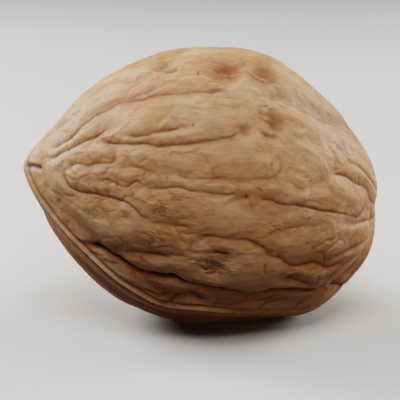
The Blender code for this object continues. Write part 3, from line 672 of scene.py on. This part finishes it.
def falloff_group():
    """A value of 1 on a line that falls to nothing away from it."""
    tree = bpy.data.node_groups.new("fall-off", "GeometryNodeTree")
    for name in ("Distance", "Half Width", "Edge"):
        tree.interface.new_socket(name, in_out="INPUT", socket_type="NodeSocketFloat")
    tree.interface.new_socket("Strength", in_out="OUTPUT", socket_type="NodeSocketFloat")
    given = add(tree, "NodeGroupInput").outputs
    ratio = add(tree, "ShaderNodeMath", {0: given[0], 1: given[1]}, operation="DIVIDE")
    power = add(tree, "ShaderNodeMath", {0: ratio, 1: given[2]}, operation="POWER")
    minus = add(tree, "ShaderNodeMath", {0: power, 1: -1.0}, operation="MULTIPLY")
    strength = add(tree, "ShaderNodeMath", {0: minus}, operation="EXPONENT")
    add(tree, "NodeGroupOutput", {0: strength})
    return tree


# What happens at each point for one line: result, operation and what it takes.
LINE_STEPS = (
    ("frayed", "MULTIPLY", "gap", "fray"),
    ("crease", "FALLOFF", "frayed", "crease_width"),
    ("shoulder", "FALLOFF", "frayed", "shoulder_width"),
    ("narrow", "MULTIPLY", "crease", "crease_share"),
    ("rest", "SUBTRACT", 1.0, "crease_share"),
    ("broad", "MULTIPLY", "shoulder", "rest"),
    ("press", "ADD", "narrow", "broad"),
    ("press", "MULTIPLY", "press", "depth"),
    ("press", "MULTIPLY", "press", "fade"),
    ("press", "MULTIPLY", "press", "Furrow Depth"),
    ("press", "DIVIDE", "press", MM),
    ("raise", "MULTIPLY", "press", -1.0),
    ("press", "MAXIMUM", "press", 0.0),
    ("raise", "MAXIMUM", "raise", 0.0),
    ("press", "POWER", "press", 4.0),
    ("raise", "POWER", "raise", 4.0),
    ("hollow", "ADD", "hollow", "press"),
    ("rise", "ADD", "rise", "raise"),
    # The line's stain and painted shade: full in its crease, and a quarter of it on its shoulders.
    ("tint", "MULTIPLY", "shoulder", 0.25),
    ("tint", "ADD", "tint", "crease"),
    ("tint", "MULTIPLY", "tint", "stain_of_line"),
    ("stain", "MAXIMUM", "stain", "tint"),
    ("inner", "SUBTRACT", 1.0, "border"),
    ("clear_of_line", "ADD", "gap", "inner"),
    ("clear", "MINIMUM", "clear", "clear_of_line"),
)
# What happens at each point once every line is in: wrinkles, pillows, seam, notch and skin.
SHELL_STEPS = (
    ("crease", "MULTIPLY", "wrinkle", "Wrinkle Depth"),
    ("crease", "DIVIDE", "crease", MM),
    ("crease", "POWER", "crease", 4.0),
    ("hollow", "ADD", "hollow", "crease"),
    ("hollow", "POWER", "hollow", 0.25),
    ("hollow", "MULTIPLY", "hollow", MM),
    ("rise", "POWER", "rise", 0.25),
    ("rise", "MULTIPLY", "rise", MM),
    ("edge", "FALLOFF", "clear", "Pillow Spread"),
    ("pillow", "SUBTRACT", 0.5, "edge"),
    ("pillow", "MULTIPLY", "pillow", "Pillow Height"),
    ("net_gap", "MULTIPLY", "net_gap", "Net Size"),
    ("net", "FALLOFF", "net_gap", "Net Half Width"),
    ("net", "MULTIPLY", "net", "patchy"),
    ("net_cut", "MULTIPLY", "net", "Net Depth"),
    ("height", "ADD", "lump", "pillow"),
    ("height", "SUBTRACT", "height", "net_cut"),
    ("skin", "SUBTRACT", "skin", 0.5),
    ("skin", "MULTIPLY", "skin", "Skin Height"),
    ("height", "ADD", "height", "skin"),
    ("height", "ADD", "height", "rise"),
    ("height", "SUBTRACT", "height", "hollow"),
    ("grit", "SUBTRACT", "grit", 0.5),
    ("grit", "MULTIPLY", "grit", "scuff"),
    ("grit", "MULTIPLY", "grit", "Grit Height"),
    ("height", "ADD", "height", "grit"),
    ("calm_width", "MULTIPLY", "Seam Half Width", 2.6),
    ("calm", "FALLOFF", "seam_gap", "calm_width"),
    ("calm", "MULTIPLY", "calm", 0.8),
    ("free", "SUBTRACT", 1.0, "calm"),
    ("height", "MULTIPLY", "height", "free"),
    ("calm", "MULTIPLY", "quiet", 0.8),
    ("free", "SUBTRACT", 1.0, "calm"),
    ("height", "MULTIPLY", "height", "free"),
    ("seam", "FALLOFF", "seam_gap", "Seam Half Width"),
    ("seam", "MULTIPLY", "seam", "seam_share"),
    ("ridge", "MULTIPLY", "seam", "Seam Height"),
    ("height", "ADD", "height", "ridge"),
    ("groove", "FALLOFF", "seam_gap", "Groove Half Width"),
    ("groove", "MULTIPLY", "groove", "seam_share"),
    ("cut", "MULTIPLY", "groove", "Groove Depth"),
    ("height", "SUBTRACT", "height", "cut"),
    ("recess_gap", "SUBTRACT", "seam_gap", "Recess Offset"),
    ("recess_gap", "ABSOLUTE", "recess_gap", 0.0),
    ("recess", "FALLOFF", "recess_gap", "Recess Half Width"),
    ("recess", "MULTIPLY", "recess", "seam_share"),
    ("cut", "MULTIPLY", "recess", "Recess Depth"),
    ("height", "SUBTRACT", "height", "cut"),
    ("flank_gap", "SUBTRACT", "seam_gap", "Flank Offset"),
    ("flank_gap", "ABSOLUTE", "flank_gap", 0.0),
    ("flank", "FALLOFF", "flank_gap", "Flank Half Width"),
    ("dip", "MULTIPLY", "flank", "Flank Depth"),
    ("height", "SUBTRACT", "height", "dip"),
    ("notch", "FALLOFF", "notch_gap", "Notch Half Width"),
    ("cut", "MULTIPLY", "notch", "Notch Depth"),
    ("height", "SUBTRACT", "height", "cut"),
)


def worked_out(tree, falloff, known, steps):
    """The steps as nodes, and what each result's name stands for at the end."""
    known = dict(known)
    for label, operation, first, second in steps:
        first, second = known.get(first, first), known.get(second, second)
        if operation == "FALLOFF":
            edge = CREASE_EDGE if label == "crease" else SOFT_EDGE
            known[label] = add(tree, "GeometryNodeGroup", {0: first, 1: second, 2: edge}, node_tree=falloff)
        else:
            known[label] = add(tree, "ShaderNodeMath", {0: first, 1: second}, operation=operation)
    return known


def relief_tree():
    """Presses every drawn line into the shell, swells the pillows between them and raises the seam."""
    tree = bpy.data.node_groups.new("walnut relief", "GeometryNodeTree")
    tree.is_modifier = True
    for name, kind in RELIEF_INPUTS:
        tree.interface.new_socket(name, in_out="INPUT", socket_type=kind)
    tree.interface.new_socket("Shell", in_out="OUTPUT", socket_type="NodeSocketGeometry")
    given = add(tree, "NodeGroupInput").outputs
    falloff = falloff_group()
    known = {name: given[name] for name, kind in RELIEF_INPUTS}
    for label in ("hollow", "rise", "stain", "clear", "lump", "wrinkle", "quiet", "scuff", "seam_share", "fray",
                  "fade"):
        known[label] = add(tree, "GeometryNodeInputNamedAttribute", {"Name": label}, data_type="FLOAT")
    drawn = {}
    for label in ("Lines", "Seam", "Notch"):
        drawn[label] = add(tree, "GeometryNodeObjectInfo", {"Object": given[label]}).outputs["Geometry"]

    # Chance patterns: how ragged a line is, how its depth comes and goes, the skin's lumps,
    # and a net of fine creases that shows in patches.
    place = add(tree, "GeometryNodeInputPosition")
    for label, size, low, high in (("fray", 1.1, 0.4, 1.6), ("fade", 3.0, -0.1, 2.1), ("patchy", 4.0, -1.7, 2.5)):
        pattern = add(tree, "ShaderNodeTexNoise", {"Vector": place, "Scale": 1.0 / (size * MM), "Detail": 2.0})
        known["made " + label] = add(tree, "ShaderNodeMapRange", {"Value": pattern, "To Min": low, "To Max": high})
    known["patchy"] = known["made patchy"]
    fineness = add(tree, "ShaderNodeMath", {0: 1.0, 1: given["Skin Size"]}, operation="DIVIDE")
    stretched = add(tree, "ShaderNodeVectorMath", {0: place, 1: (0.5, 1.0, 1.0)}, operation="MULTIPLY")
    known["skin"] = add(tree, "ShaderNodeTexNoise", {"Vector": stretched, "Scale": fineness, "Detail": 4.0})
    fineness = add(tree, "ShaderNodeMath", {0: 1.0, 1: given["Grit Size"]}, operation="DIVIDE")
    known["grit"] = add(tree, "ShaderNodeTexNoise", {"Vector": stretched, "Scale": fineness, "Detail": 1.0})
    bend = add(tree, "ShaderNodeTexNoise", {"Vector": place, "Scale": 1.0 / (2.0 * MM), "Detail": 2.0})
    bend = add(tree, "ShaderNodeVectorMath", {0: bend.outputs["Color"], "Scale": 1.6 * MM}, operation="SCALE")
    bent = add(tree, "ShaderNodeVectorMath", {0: stretched, 1: bend}, operation="ADD")
    fineness = add(tree, "ShaderNodeMath", {0: 1.0, 1: given["Net Size"]}, operation="DIVIDE")
    cells = add(tree, "ShaderNodeTexVoronoi", {"Vector": bent, "Scale": fineness}, feature="DISTANCE_TO_EDGE")
    known["net_gap"] = cells.outputs["Distance"]

    # One pass for each line. The fourth-power sums let crossing lines merge without
    # deepening each other.
    start = tree.nodes.new("GeometryNodeRepeatInput")
    end = tree.nodes.new("GeometryNodeRepeatOutput")
    start.pair_with_output(end)
    end.repeat_items.clear()
    end.repeat_items.new("GEOMETRY", "Shell")
    shell = given["Shell"]
    for label, first in (("hollow", 0.0), ("rise", 0.0), ("stain", 0.0), ("clear", 1.0),
                         ("fray", known["made fray"]), ("fade", known["made fade"])):
        shell = add(tree, "GeometryNodeStoreNamedAttribute", {0: shell, "Name": label, "Value": first})
    tree.links.new(given["Line Count"], start.inputs["Iterations"])
    tree.links.new(shell.outputs[0], start.inputs["Shell"])
    number = start.outputs["Iteration"]
    line = add(tree, "GeometryNodeInputNamedAttribute", {"Name": "line"}, data_type="INT")
    chosen = add(tree, "FunctionNodeCompare", {2: line, 3: number}, data_type="INT", operation="EQUAL")
    for label in LINE_SIZES:
        size = add(tree, "GeometryNodeInputNamedAttribute", {"Name": label}, data_type="FLOAT")
        known[label] = add(tree, "GeometryNodeAttributeStatistic", {0: drawn["Lines"], 1: chosen, 2: size},
                           data_type="FLOAT", domain="EDGE")
    near = add(tree, "GeometryNodeProximity", {0: drawn["Lines"], "Group ID": line, "Sample Group ID": number},
               target_element="EDGES")
    shell = add(tree, "GeometryNodeStoreNamedAttribute",
                {0: start.outputs["Shell"], "Name": "gap", "Value": near.outputs["Distance"]})
    known["gap"] = add(tree, "GeometryNodeInputNamedAttribute", {"Name": "gap"}, data_type="FLOAT")
    pressed = worked_out(tree, falloff, known, LINE_STEPS)
    for label in ("hollow", "rise", "stain", "clear"):
        shell = add(tree, "GeometryNodeStoreNamedAttribute", {0: shell, "Name": label, "Value": pressed[label]})
    tree.links.new(shell.outputs[0], end.inputs["Shell"])

    # The whole relief at once, along the smooth shell's normals.
    for label in ("Seam", "Notch"):
        near = add(tree, "GeometryNodeProximity", {0: drawn[label]}, target_element="EDGES")
        known[label.lower() + "_gap"] = near.outputs["Distance"]
    grown = worked_out(tree, falloff, known, SHELL_STEPS)
    shell = end.outputs["Shell"]
    for label in ("height", "seam", "groove", "recess", "notch", "net"):
        shell = add(tree, "GeometryNodeStoreNamedAttribute", {0: shell, "Name": label, "Value": grown[label]})
    height = add(tree, "GeometryNodeInputNamedAttribute", {"Name": "height"}, data_type="FLOAT")
    out = add(tree, "ShaderNodeVectorMath", {0: add(tree, "GeometryNodeInputNormal"), "Scale": height},
              operation="SCALE")
    shell = add(tree, "GeometryNodeSetPosition", {"Geometry": shell, "Offset": out})

    # The small flat spot that the nut rests on.
    place = add(tree, "ShaderNodeSeparateXYZ", {0: add(tree, "GeometryNodeInputPosition")}).outputs
    above = add(tree, "ShaderNodeMath", {0: place[2], 1: given["Floor"]}, operation="MAXIMUM")
    rested = add(tree, "ShaderNodeCombineXYZ", {0: place[0], 1: place[1], 2: above})
    shell = add(tree, "GeometryNodeSetPosition", {"Geometry": shell, "Position": rested})
    shell = add(tree, "GeometryNodeRealizeInstances", {"Geometry": shell})
    shell = add(tree, "GeometryNodeSetMaterial", {"Geometry": shell, "Material": given["Material"]})
    add(tree, "NodeGroupOutput", {0: shell})
    return tree


# Materials.

# Patterns of the shell: name, size in millimetres, detail and how much it is drawn out
# along the nut. The grain is drawn twice as coarse as the real fibres, to show at all.
PATTERNS = (
    ("clouds", 8.0, 2.0, 1.0),
    ("rosy", 3.0, 4.0, 2.0),
    ("ochre", 4.0, 4.0, 1.5),
    ("mottle", 0.9, 5.0, 2.0),
    ("speck", 0.4, 1.0, 1.0),
    ("fleck", 0.45, 3.0, 3.0),
    ("grain", 0.14, 2.0, 1.5),
    ("fibre", 0.25, 2.0, 2.2),
)
# Colours laid over the deep tan one after another: what decides, the values between which
# it sets in, how strongly it covers and with which colour.
COLOUR_STEPS = (
    ("clouds", 0.35, 0.65, 0.9, "colour_light"),
    ("rosy", 0.48, 0.66, 0.42, "colour_rosy"),
    ("ochre", 0.5, 0.68, 0.5, "colour_blotch"),
    # Painted shade: darker the deeper the relief is pressed in, and along the fine creases.
    ("height", -0.08, -0.75, 0.8, "colour_shade_and_fleck"),
    ("net", 0.1, 1.0, 0.3, "colour_shade_and_fleck"),
    ("fleck", 0.6, 0.72, 0.4, "colour_shade_and_fleck"),
    ("dashes", 0.4, 0.6, 0.35, "colour_furrow_stain_and_shade"),
    # Partly real stain in the furrows and pits, partly painted shade in them.
    ("stain", 0.05, 0.95, 0.85, "colour_furrow_stain_and_shade"),
    # Painted shade on the smooth flank below the seam, towards the tip.
    ("quiet", 0.0, 1.0, 0.85, "colour_shade_and_fleck"),
    # Painted highlight: paler along the seam's raised lips.
    ("seam", 0.35, 0.8, 0.75, "colour_rosy"),
    # Painted shade in the seam's groove and in the recess below the seam.
    ("groove", 0.2, 0.8, 0.8, "colour_furrow_stain_and_shade"),
    ("recess", 0.3, 1.0, 0.65, "colour_furrow_stain_and_shade"),
    ("speck", 0.72, 0.78, 0.4, "colour_furrow_stain_and_shade"),
    ("notch", 0.05, 0.9, 0.85, "colour_notch"),
)
# Fine relief in millimetres: pattern, height, and the attribute that holds it back, if any.
BUMPS = (
    ("mottle", 0.10, None),
    ("grain", 0.012, None),
    ("fibre", 0.14, "scuff"),
    ("fleck", 0.05, None),
)


def shell_material(look):
    """Dry walnut shell: lignified wood with a matt, slightly waxy skin, tan and mottled, stained red-brown in its
    furrows partly for real and partly as painted shade, with painted shade in its hollows, fine creases and below
    its seam, and a painted highlight that makes it paler along its seam's lips."""
    made = bpy.data.materials.new("dry lignified shell")
    made.use_nodes = True
    tree = made.node_tree
    tree.nodes.clear()
    place = add(tree, "ShaderNodeTexCoord").outputs["Object"]
    known = {}
    for label in ("stain", "height", "net", "seam", "groove", "recess", "quiet", "notch", "scuff"):
        known[label] = add(tree, "ShaderNodeAttribute", attribute_name=label).outputs["Fac"]
    known["height"] = add(tree, "ShaderNodeMath", {0: known["height"], 1: MM}, operation="DIVIDE")
    for label, size, detail, stretch in PATTERNS:
        spot = add(tree, "ShaderNodeVectorMath", {0: place, 1: (1.0 / stretch, 1.0, 1.0)}, operation="MULTIPLY")
        known[label] = add(tree, "ShaderNodeTexNoise", {"Vector": spot, "Scale": 1.0 / (size * MM), "Detail": detail})
    known["dashes"] = add(tree, "ShaderNodeMath", {0: known["fibre"], 1: known["scuff"]}, operation="MULTIPLY")
    colour = tuple(look.colour_deep)
    for label, low, high, share, tone in COLOUR_STEPS:
        share = add(tree, "ShaderNodeMapRange", {"Value": known[label], "From Min": low, "From Max": high,
                    "To Max": share})
        colour = add(tree, "ShaderNodeMix", {"Factor": share, "A": colour, "B": tuple(getattr(look, tone))},
                     data_type="RGBA").outputs["Result"]
    shade = add(tree, "ShaderNodeMapRange", {"Value": known["mottle"], "From Min": 0.3, "From Max": 0.7,
                "To Min": 0.83, "To Max": 1.13})
    colour = add(tree, "ShaderNodeVectorMath", {0: colour, "Scale": shade}, operation="SCALE")
    rough = add(tree, "ShaderNodeMapRange", {"Value": known["mottle"], "From Min": 0.3, "From Max": 0.7,
                "To Min": look.roughness - 0.08, "To Max": look.roughness + 0.08})
    relief = 0.0
    for label, height, holder in BUMPS:
        part = add(tree, "ShaderNodeMath", {0: known[label], 1: height}, operation="MULTIPLY")
        if holder:
            part = add(tree, "ShaderNodeMath", {0: part, 1: known[holder]}, operation="MULTIPLY")
        relief = add(tree, "ShaderNodeMath", {0: relief, 1: part}, operation="ADD")
    bump = add(tree, "ShaderNodeBump", {"Height": relief, "Distance": MM})
    bsdf = add(tree, "ShaderNodeBsdfPrincipled", {"Base Color": colour, "Roughness": rough, "IOR": 1.5,
               "Normal": bump})
    add(tree, "ShaderNodeOutputMaterial", {"Surface": bsdf})
    return made


def floor_material(look):
    """Matt painted board: pale, with no pattern to draw the eye."""
    made = bpy.data.materials.new("matt painted board")
    made.use_nodes = True
    tree = made.node_tree
    tree.nodes.clear()
    place = add(tree, "ShaderNodeTexCoord").outputs["Object"]
    cloud = add(tree, "ShaderNodeTexNoise", {"Vector": place, "Scale": 8.0, "Detail": 2.0})
    shade = add(tree, "ShaderNodeMapRange", {"Value": cloud, "To Min": 0.97, "To Max": 1.0})
    colour = add(tree, "ShaderNodeVectorMath", {0: tuple(look.floor_colour)[:3], "Scale": shade}, operation="SCALE")
    bsdf = add(tree, "ShaderNodeBsdfPrincipled", {"Base Color": colour, "Roughness": 0.9})
    add(tree, "ShaderNodeOutputMaterial", {"Surface": bsdf})
    return made


def plain_mesh(source, name):
    """The evaluated object as a plain mesh object, in place of its source."""
    evaluated = source.evaluated_get(bpy.context.evaluated_depsgraph_get())
    mesh = bpy.data.meshes.new_from_object(evaluated, preserve_all_data_layers=True,
                                           depsgraph=bpy.context.evaluated_depsgraph_get())
    mesh.name = name
    made = bpy.data.objects.new(name, mesh)
    bpy.context.scene.collection.objects.link(made)
    bpy.data.objects.remove(source, do_unlink=True)
    return made


def sized(name, description, millimetres, subtype="DISTANCE"):
    """A length setting."""
    return bpy.props.FloatProperty(name=name, description=description, default=millimetres * MM, min=0.0,
                                   precision=5, unit="LENGTH", subtype=subtype)


def tinted(name, description, code):
    """A colour setting."""
    return bpy.props.FloatVectorProperty(name=name, description=description, default=linear(code), size=4,
                                         min=0.0, max=1.0, subtype="COLOR")


class ShellSettings(bpy.types.PropertyGroup):
    """Sizes and colours of the shell."""
    length: bpy.props.FloatProperty(
        name="Length", description="From the tip to the blunt end", default=cad_high.x - cad_low.x,
        min=0.01, precision=5, unit="LENGTH", subtype="DISTANCE")
    rows: bpy.props.IntProperty(
        name="Rows", description="Rows of faces along each side of the starting cube", default=200, min=20)
    faces: bpy.props.IntProperty(
        name="Faces", description="Triangles kept in the finished shell", default=194000, min=1000)
    seed: bpy.props.IntProperty(name="Seed", description="Picks the furrows of the far side", default=23)
    furrow_depth: bpy.props.FloatProperty(
        name="Furrow depth", description="Depth of every line, as a share of its own", default=0.66,
        min=0.0, subtype="FACTOR")
    pillow_height: sized("Pillow height", "How far the shell swells between furrows", 0.2)
    pillow_spread: sized("Pillow spread", "How far from a furrow the swelling starts", 1.3)
    wrinkle_depth: sized("Wrinkle depth", "Depth of the short wrinkles", 0.5)
    seam_height: sized("Seam height", "How far the seam stands out", 0.4)
    seam_half_width: sized("Seam half width", "Half the width of the seam's ridge", 0.5)
    groove_depth: sized("Groove depth", "Depth of the groove along the seam", 0.45)
    groove_half_width: sized("Groove half width", "Half the width of that groove", 0.15)
    recess_depth: sized("Recess depth", "Depth of the step on each side of the seam", 0.2)
    recess_offset: sized("Recess offset", "Distance of that step from the seam", 0.7)
    recess_half_width: sized("Recess half width", "Half the width of that step", 0.22)
    flank_depth: sized("Flank depth", "Depth of the dip on each side of the seam", 0.35)
    flank_offset: sized("Flank offset", "Distance of that dip from the seam", 2.7)
    flank_half_width: sized("Flank half width", "Half the width of that dip", 1.1)
    notch_depth: sized("Notch depth", "Depth of the notch in the tip", 0.28)
    notch_half_width: sized("Notch half width", "Half the width of the notch", 0.3)
    net_depth: sized("Net depth", "Depth of the fine creases", 0.07)
    net_half_width: sized("Net half width", "Half the width of the fine creases", 0.16)
    net_size: sized("Net size", "Distance between the fine creases", 1.9)
    skin_height: sized("Skin height", "Height of the skin's slight unevenness", 0.13)
    skin_size: sized("Skin size", "Distance between its bumps", 2.2)
    grit_height: sized("Grit height", "Height of the grit where the skin is scuffed", 0.22)
    grit_size: sized("Grit size", "Distance between its grains", 0.55)
    roughness: bpy.props.FloatProperty(
        name="Roughness", description="Roughness of the shell", default=0.6, min=0.0, max=1.0, subtype="FACTOR")
    colour_light: tinted("Light tan", "Colour of the pale parts", "#DCAE86")
    colour_deep: tinted("Deep tan", "Colour between them", "#CD9A6D")
    colour_blotch: tinted("Blotch", "Colour of the warm blotches", "#BB8049")
    # Also the painted highlight along the seam's lips.
    colour_rosy: tinted("Rosy beige", "Colour of the greyish pink parts", "#DDB799")
    # Painted shade for the hollows, the fine creases and the flank below the seam, and the colour of the flecks.
    colour_shade_and_fleck: tinted("Hollow", "Colour deep in the hollows", "#A86534")
    colour_notch: tinted("Notch", "Colour of the notch in the tip", "#4E3A38")
    # Real stain of the furrows, scuffs and specks, and painted shade in the furrows, the seam's groove and the recess
    # below it.
    colour_furrow_stain_and_shade: tinted("Furrow", "Colour at the bottom of the furrows", "#623620")


class StudioSettings(bpy.types.PropertyGroup):
    """The floor, the lights and the camera."""
    floor_size: sized("Floor size", "Width of the floor", 3000.0)
    floor_colour: tinted("Floor colour", "Colour of the floor", "#E4E2DE")
    light_power: bpy.props.FloatProperty(
        name="Light", description="Power of the key light, which the others follow", default=0.72, min=0.0,
        unit="POWER")
    view_width: sized("View width", "How much the camera takes in at the nut's middle", 47.32)


class GrowShell(bpy.types.Operator):
    """Grow the shell with its seam, furrows, pillows and wrinkles"""
    bl_idname = "walnut.grow_shell"
    bl_label = "Grow shell"

    def execute(self, context):
        look = context.scene.walnut_shell
        scale = look.length / (DRAWN_LENGTH * MM)
        rows = look.rows
        smooth = smooth_shell(rows, scale)
        lines = drawn_lines(look.seed, look.furrow_depth)
        drawn = line_object("drawn_lines", lines, scale)
        seam = line_object("seam_lines", [((), seam_line(turns)) for turns in (SEAM_UNDER, SEAM_OVER)], scale)
        notch = line_object("notch_line", [((), lay_on_shell(TIP_NOTCH))], scale)
        values = {
            "Lines": drawn,
            "Line Count": len(lines),
            "Seam": seam,
            "Notch": notch,
            "Floor": 0.0,
            "Material": shell_material(look),
        }
        tree = relief_tree()
        grow = smooth.modifiers.new("relief", "NODES")
        grow.node_group = tree
        for socket in tree.interface.items_tree:
            if socket.in_out == "INPUT" and socket.name != "Shell":
                value = values.get(socket.name)
                if value is None:
                    value = getattr(look, socket.name.lower().replace(" ", "_"))
                grow[socket.identifier] = value
        thin = smooth.modifiers.new("thin", "DECIMATE")
        thin.ratio = min(1.0, look.faces / (12.0 * rows * rows))
        shell = plain_mesh(smooth, "shell")
        for guide in (drawn, seam, notch):
            bpy.data.objects.remove(guide, do_unlink=True)
        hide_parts("walnut")
        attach(shell, "root")
        return {"FINISHED"}


class SetStage(bpy.types.Operator):
    """Lay the floor, set the lights and stand the camera at the viewing angle"""
    bl_idname = "walnut.set_stage"
    bl_label = "Set stage"

    def execute(self, context):
        look = context.scene.walnut_studio
        scene = context.scene
        bm = bmesh.new()
        bmesh.ops.create_grid(bm, x_segments=2, y_segments=2, size=0.5 * look.floor_size)
        mesh = bpy.data.meshes.new("floor")
        bm.to_mesh(mesh)
        bm.free()
        mesh.transform(mathutils.Matrix.Translation((0.0, 0.0, -0.02 * MM)))
        mesh.materials.append(floor_material(look))
        floor = bpy.data.objects.new("floor", mesh)
        floor.visible_diffuse = False
        scene.collection.objects.link(floor)

        lean = math.radians(SHEET_LEAN)
        aim = mathutils.Vector(stand_up(np.zeros((1, 3)), 1.0)[0])
        for name, share, side, up, tone in LIGHTS:
            lamp = bpy.data.lights.new(name, "AREA")
            lamp.shape = "DISK"
            lamp.size = LIGHT_SIZE
            lamp.energy = look.light_power * share
            lamp.color = linear(tone)[:3]
            light = bpy.data.objects.new(name, lamp)
            turn = math.radians(side)
            rise = math.radians(up)
            way = mathutils.Vector((math.sin(turn) * math.cos(rise), -math.cos(turn) * math.cos(rise), math.sin(rise)))
            light.location = aim + LIGHT_DISTANCE * way
            light.rotation_euler = way.to_track_quat("Z", "Y").to_euler()
            scene.collection.objects.link(light)

        world = bpy.data.worlds.new("studio")
        world.use_nodes = True
        tree = world.node_tree
        tree.nodes.clear()
        seen = add(tree, "ShaderNodeLightPath").outputs["Is Camera Ray"]
        dim = add(tree, "ShaderNodeBackground", {"Color": linear("#FFE9D0"), "Strength": 0.01})
        pale = add(tree, "ShaderNodeBackground", {"Color": tuple(look.floor_colour), "Strength": 0.9})
        mixed = add(tree, "ShaderNodeMixShader", {0: seen, 1: dim, 2: pale})
        add(tree, "ShaderNodeOutputWorld", {"Surface": mixed})
        scene.world = world
        scene.view_settings.view_transform = "Filmic"
        scene.view_settings.look = "High Contrast"

        lens = bpy.data.cameras.new("camera")
        lens.sensor_width = 36.0
        lens.lens = lens.sensor_width * EYE[2] * MM / look.view_width
        lens.clip_start = 0.01
        lens.clip_end = 10.0
        camera = bpy.data.objects.new("camera", lens)
        camera.location = stand_up(np.array([EYE]), 1.0)[0]
        camera.rotation_euler = (0.5 * math.pi - lean, 0.0, 0.0)
        scene.collection.objects.link(camera)
        scene.camera = camera
        return {"FINISHED"}


class WalnutPanel(bpy.types.Panel):
    """Lists the shell and the stage with their settings"""
    bl_idname = "VIEW3D_PT_walnut"
    bl_label = "Walnut"
    bl_space_type = "VIEW_3D"
    bl_region_type = "UI"
    bl_category = "Walnut"

    def draw(self, context):
        for settings, operator in ((context.scene.walnut_shell, GrowShell), (context.scene.walnut_studio, SetStage)):
            box = self.layout.box()
            for name in settings.bl_rna.properties.keys():
                if name not in ("rna_type", "name"):
                    box.prop(settings, name)
            box.operator(operator.bl_idname)


CLASSES = (ShellSettings, StudioSettings, GrowShell, SetStage, WalnutPanel)


def register():
    for each in CLASSES:
        bpy.utils.register_class(each)
    bpy.types.Scene.walnut_shell = bpy.props.PointerProperty(type=ShellSettings)
    bpy.types.Scene.walnut_studio = bpy.props.PointerProperty(type=StudioSettings)


def unregister():
    del bpy.types.Scene.walnut_studio
    del bpy.types.Scene.walnut_shell
    for each in reversed(CLASSES):
        bpy.utils.unregister_class(each)


def main():
    register()
    bpy.ops.walnut.set_stage()
    bpy.ops.walnut.grow_shell()


if __name__ == "__main__":
    main()
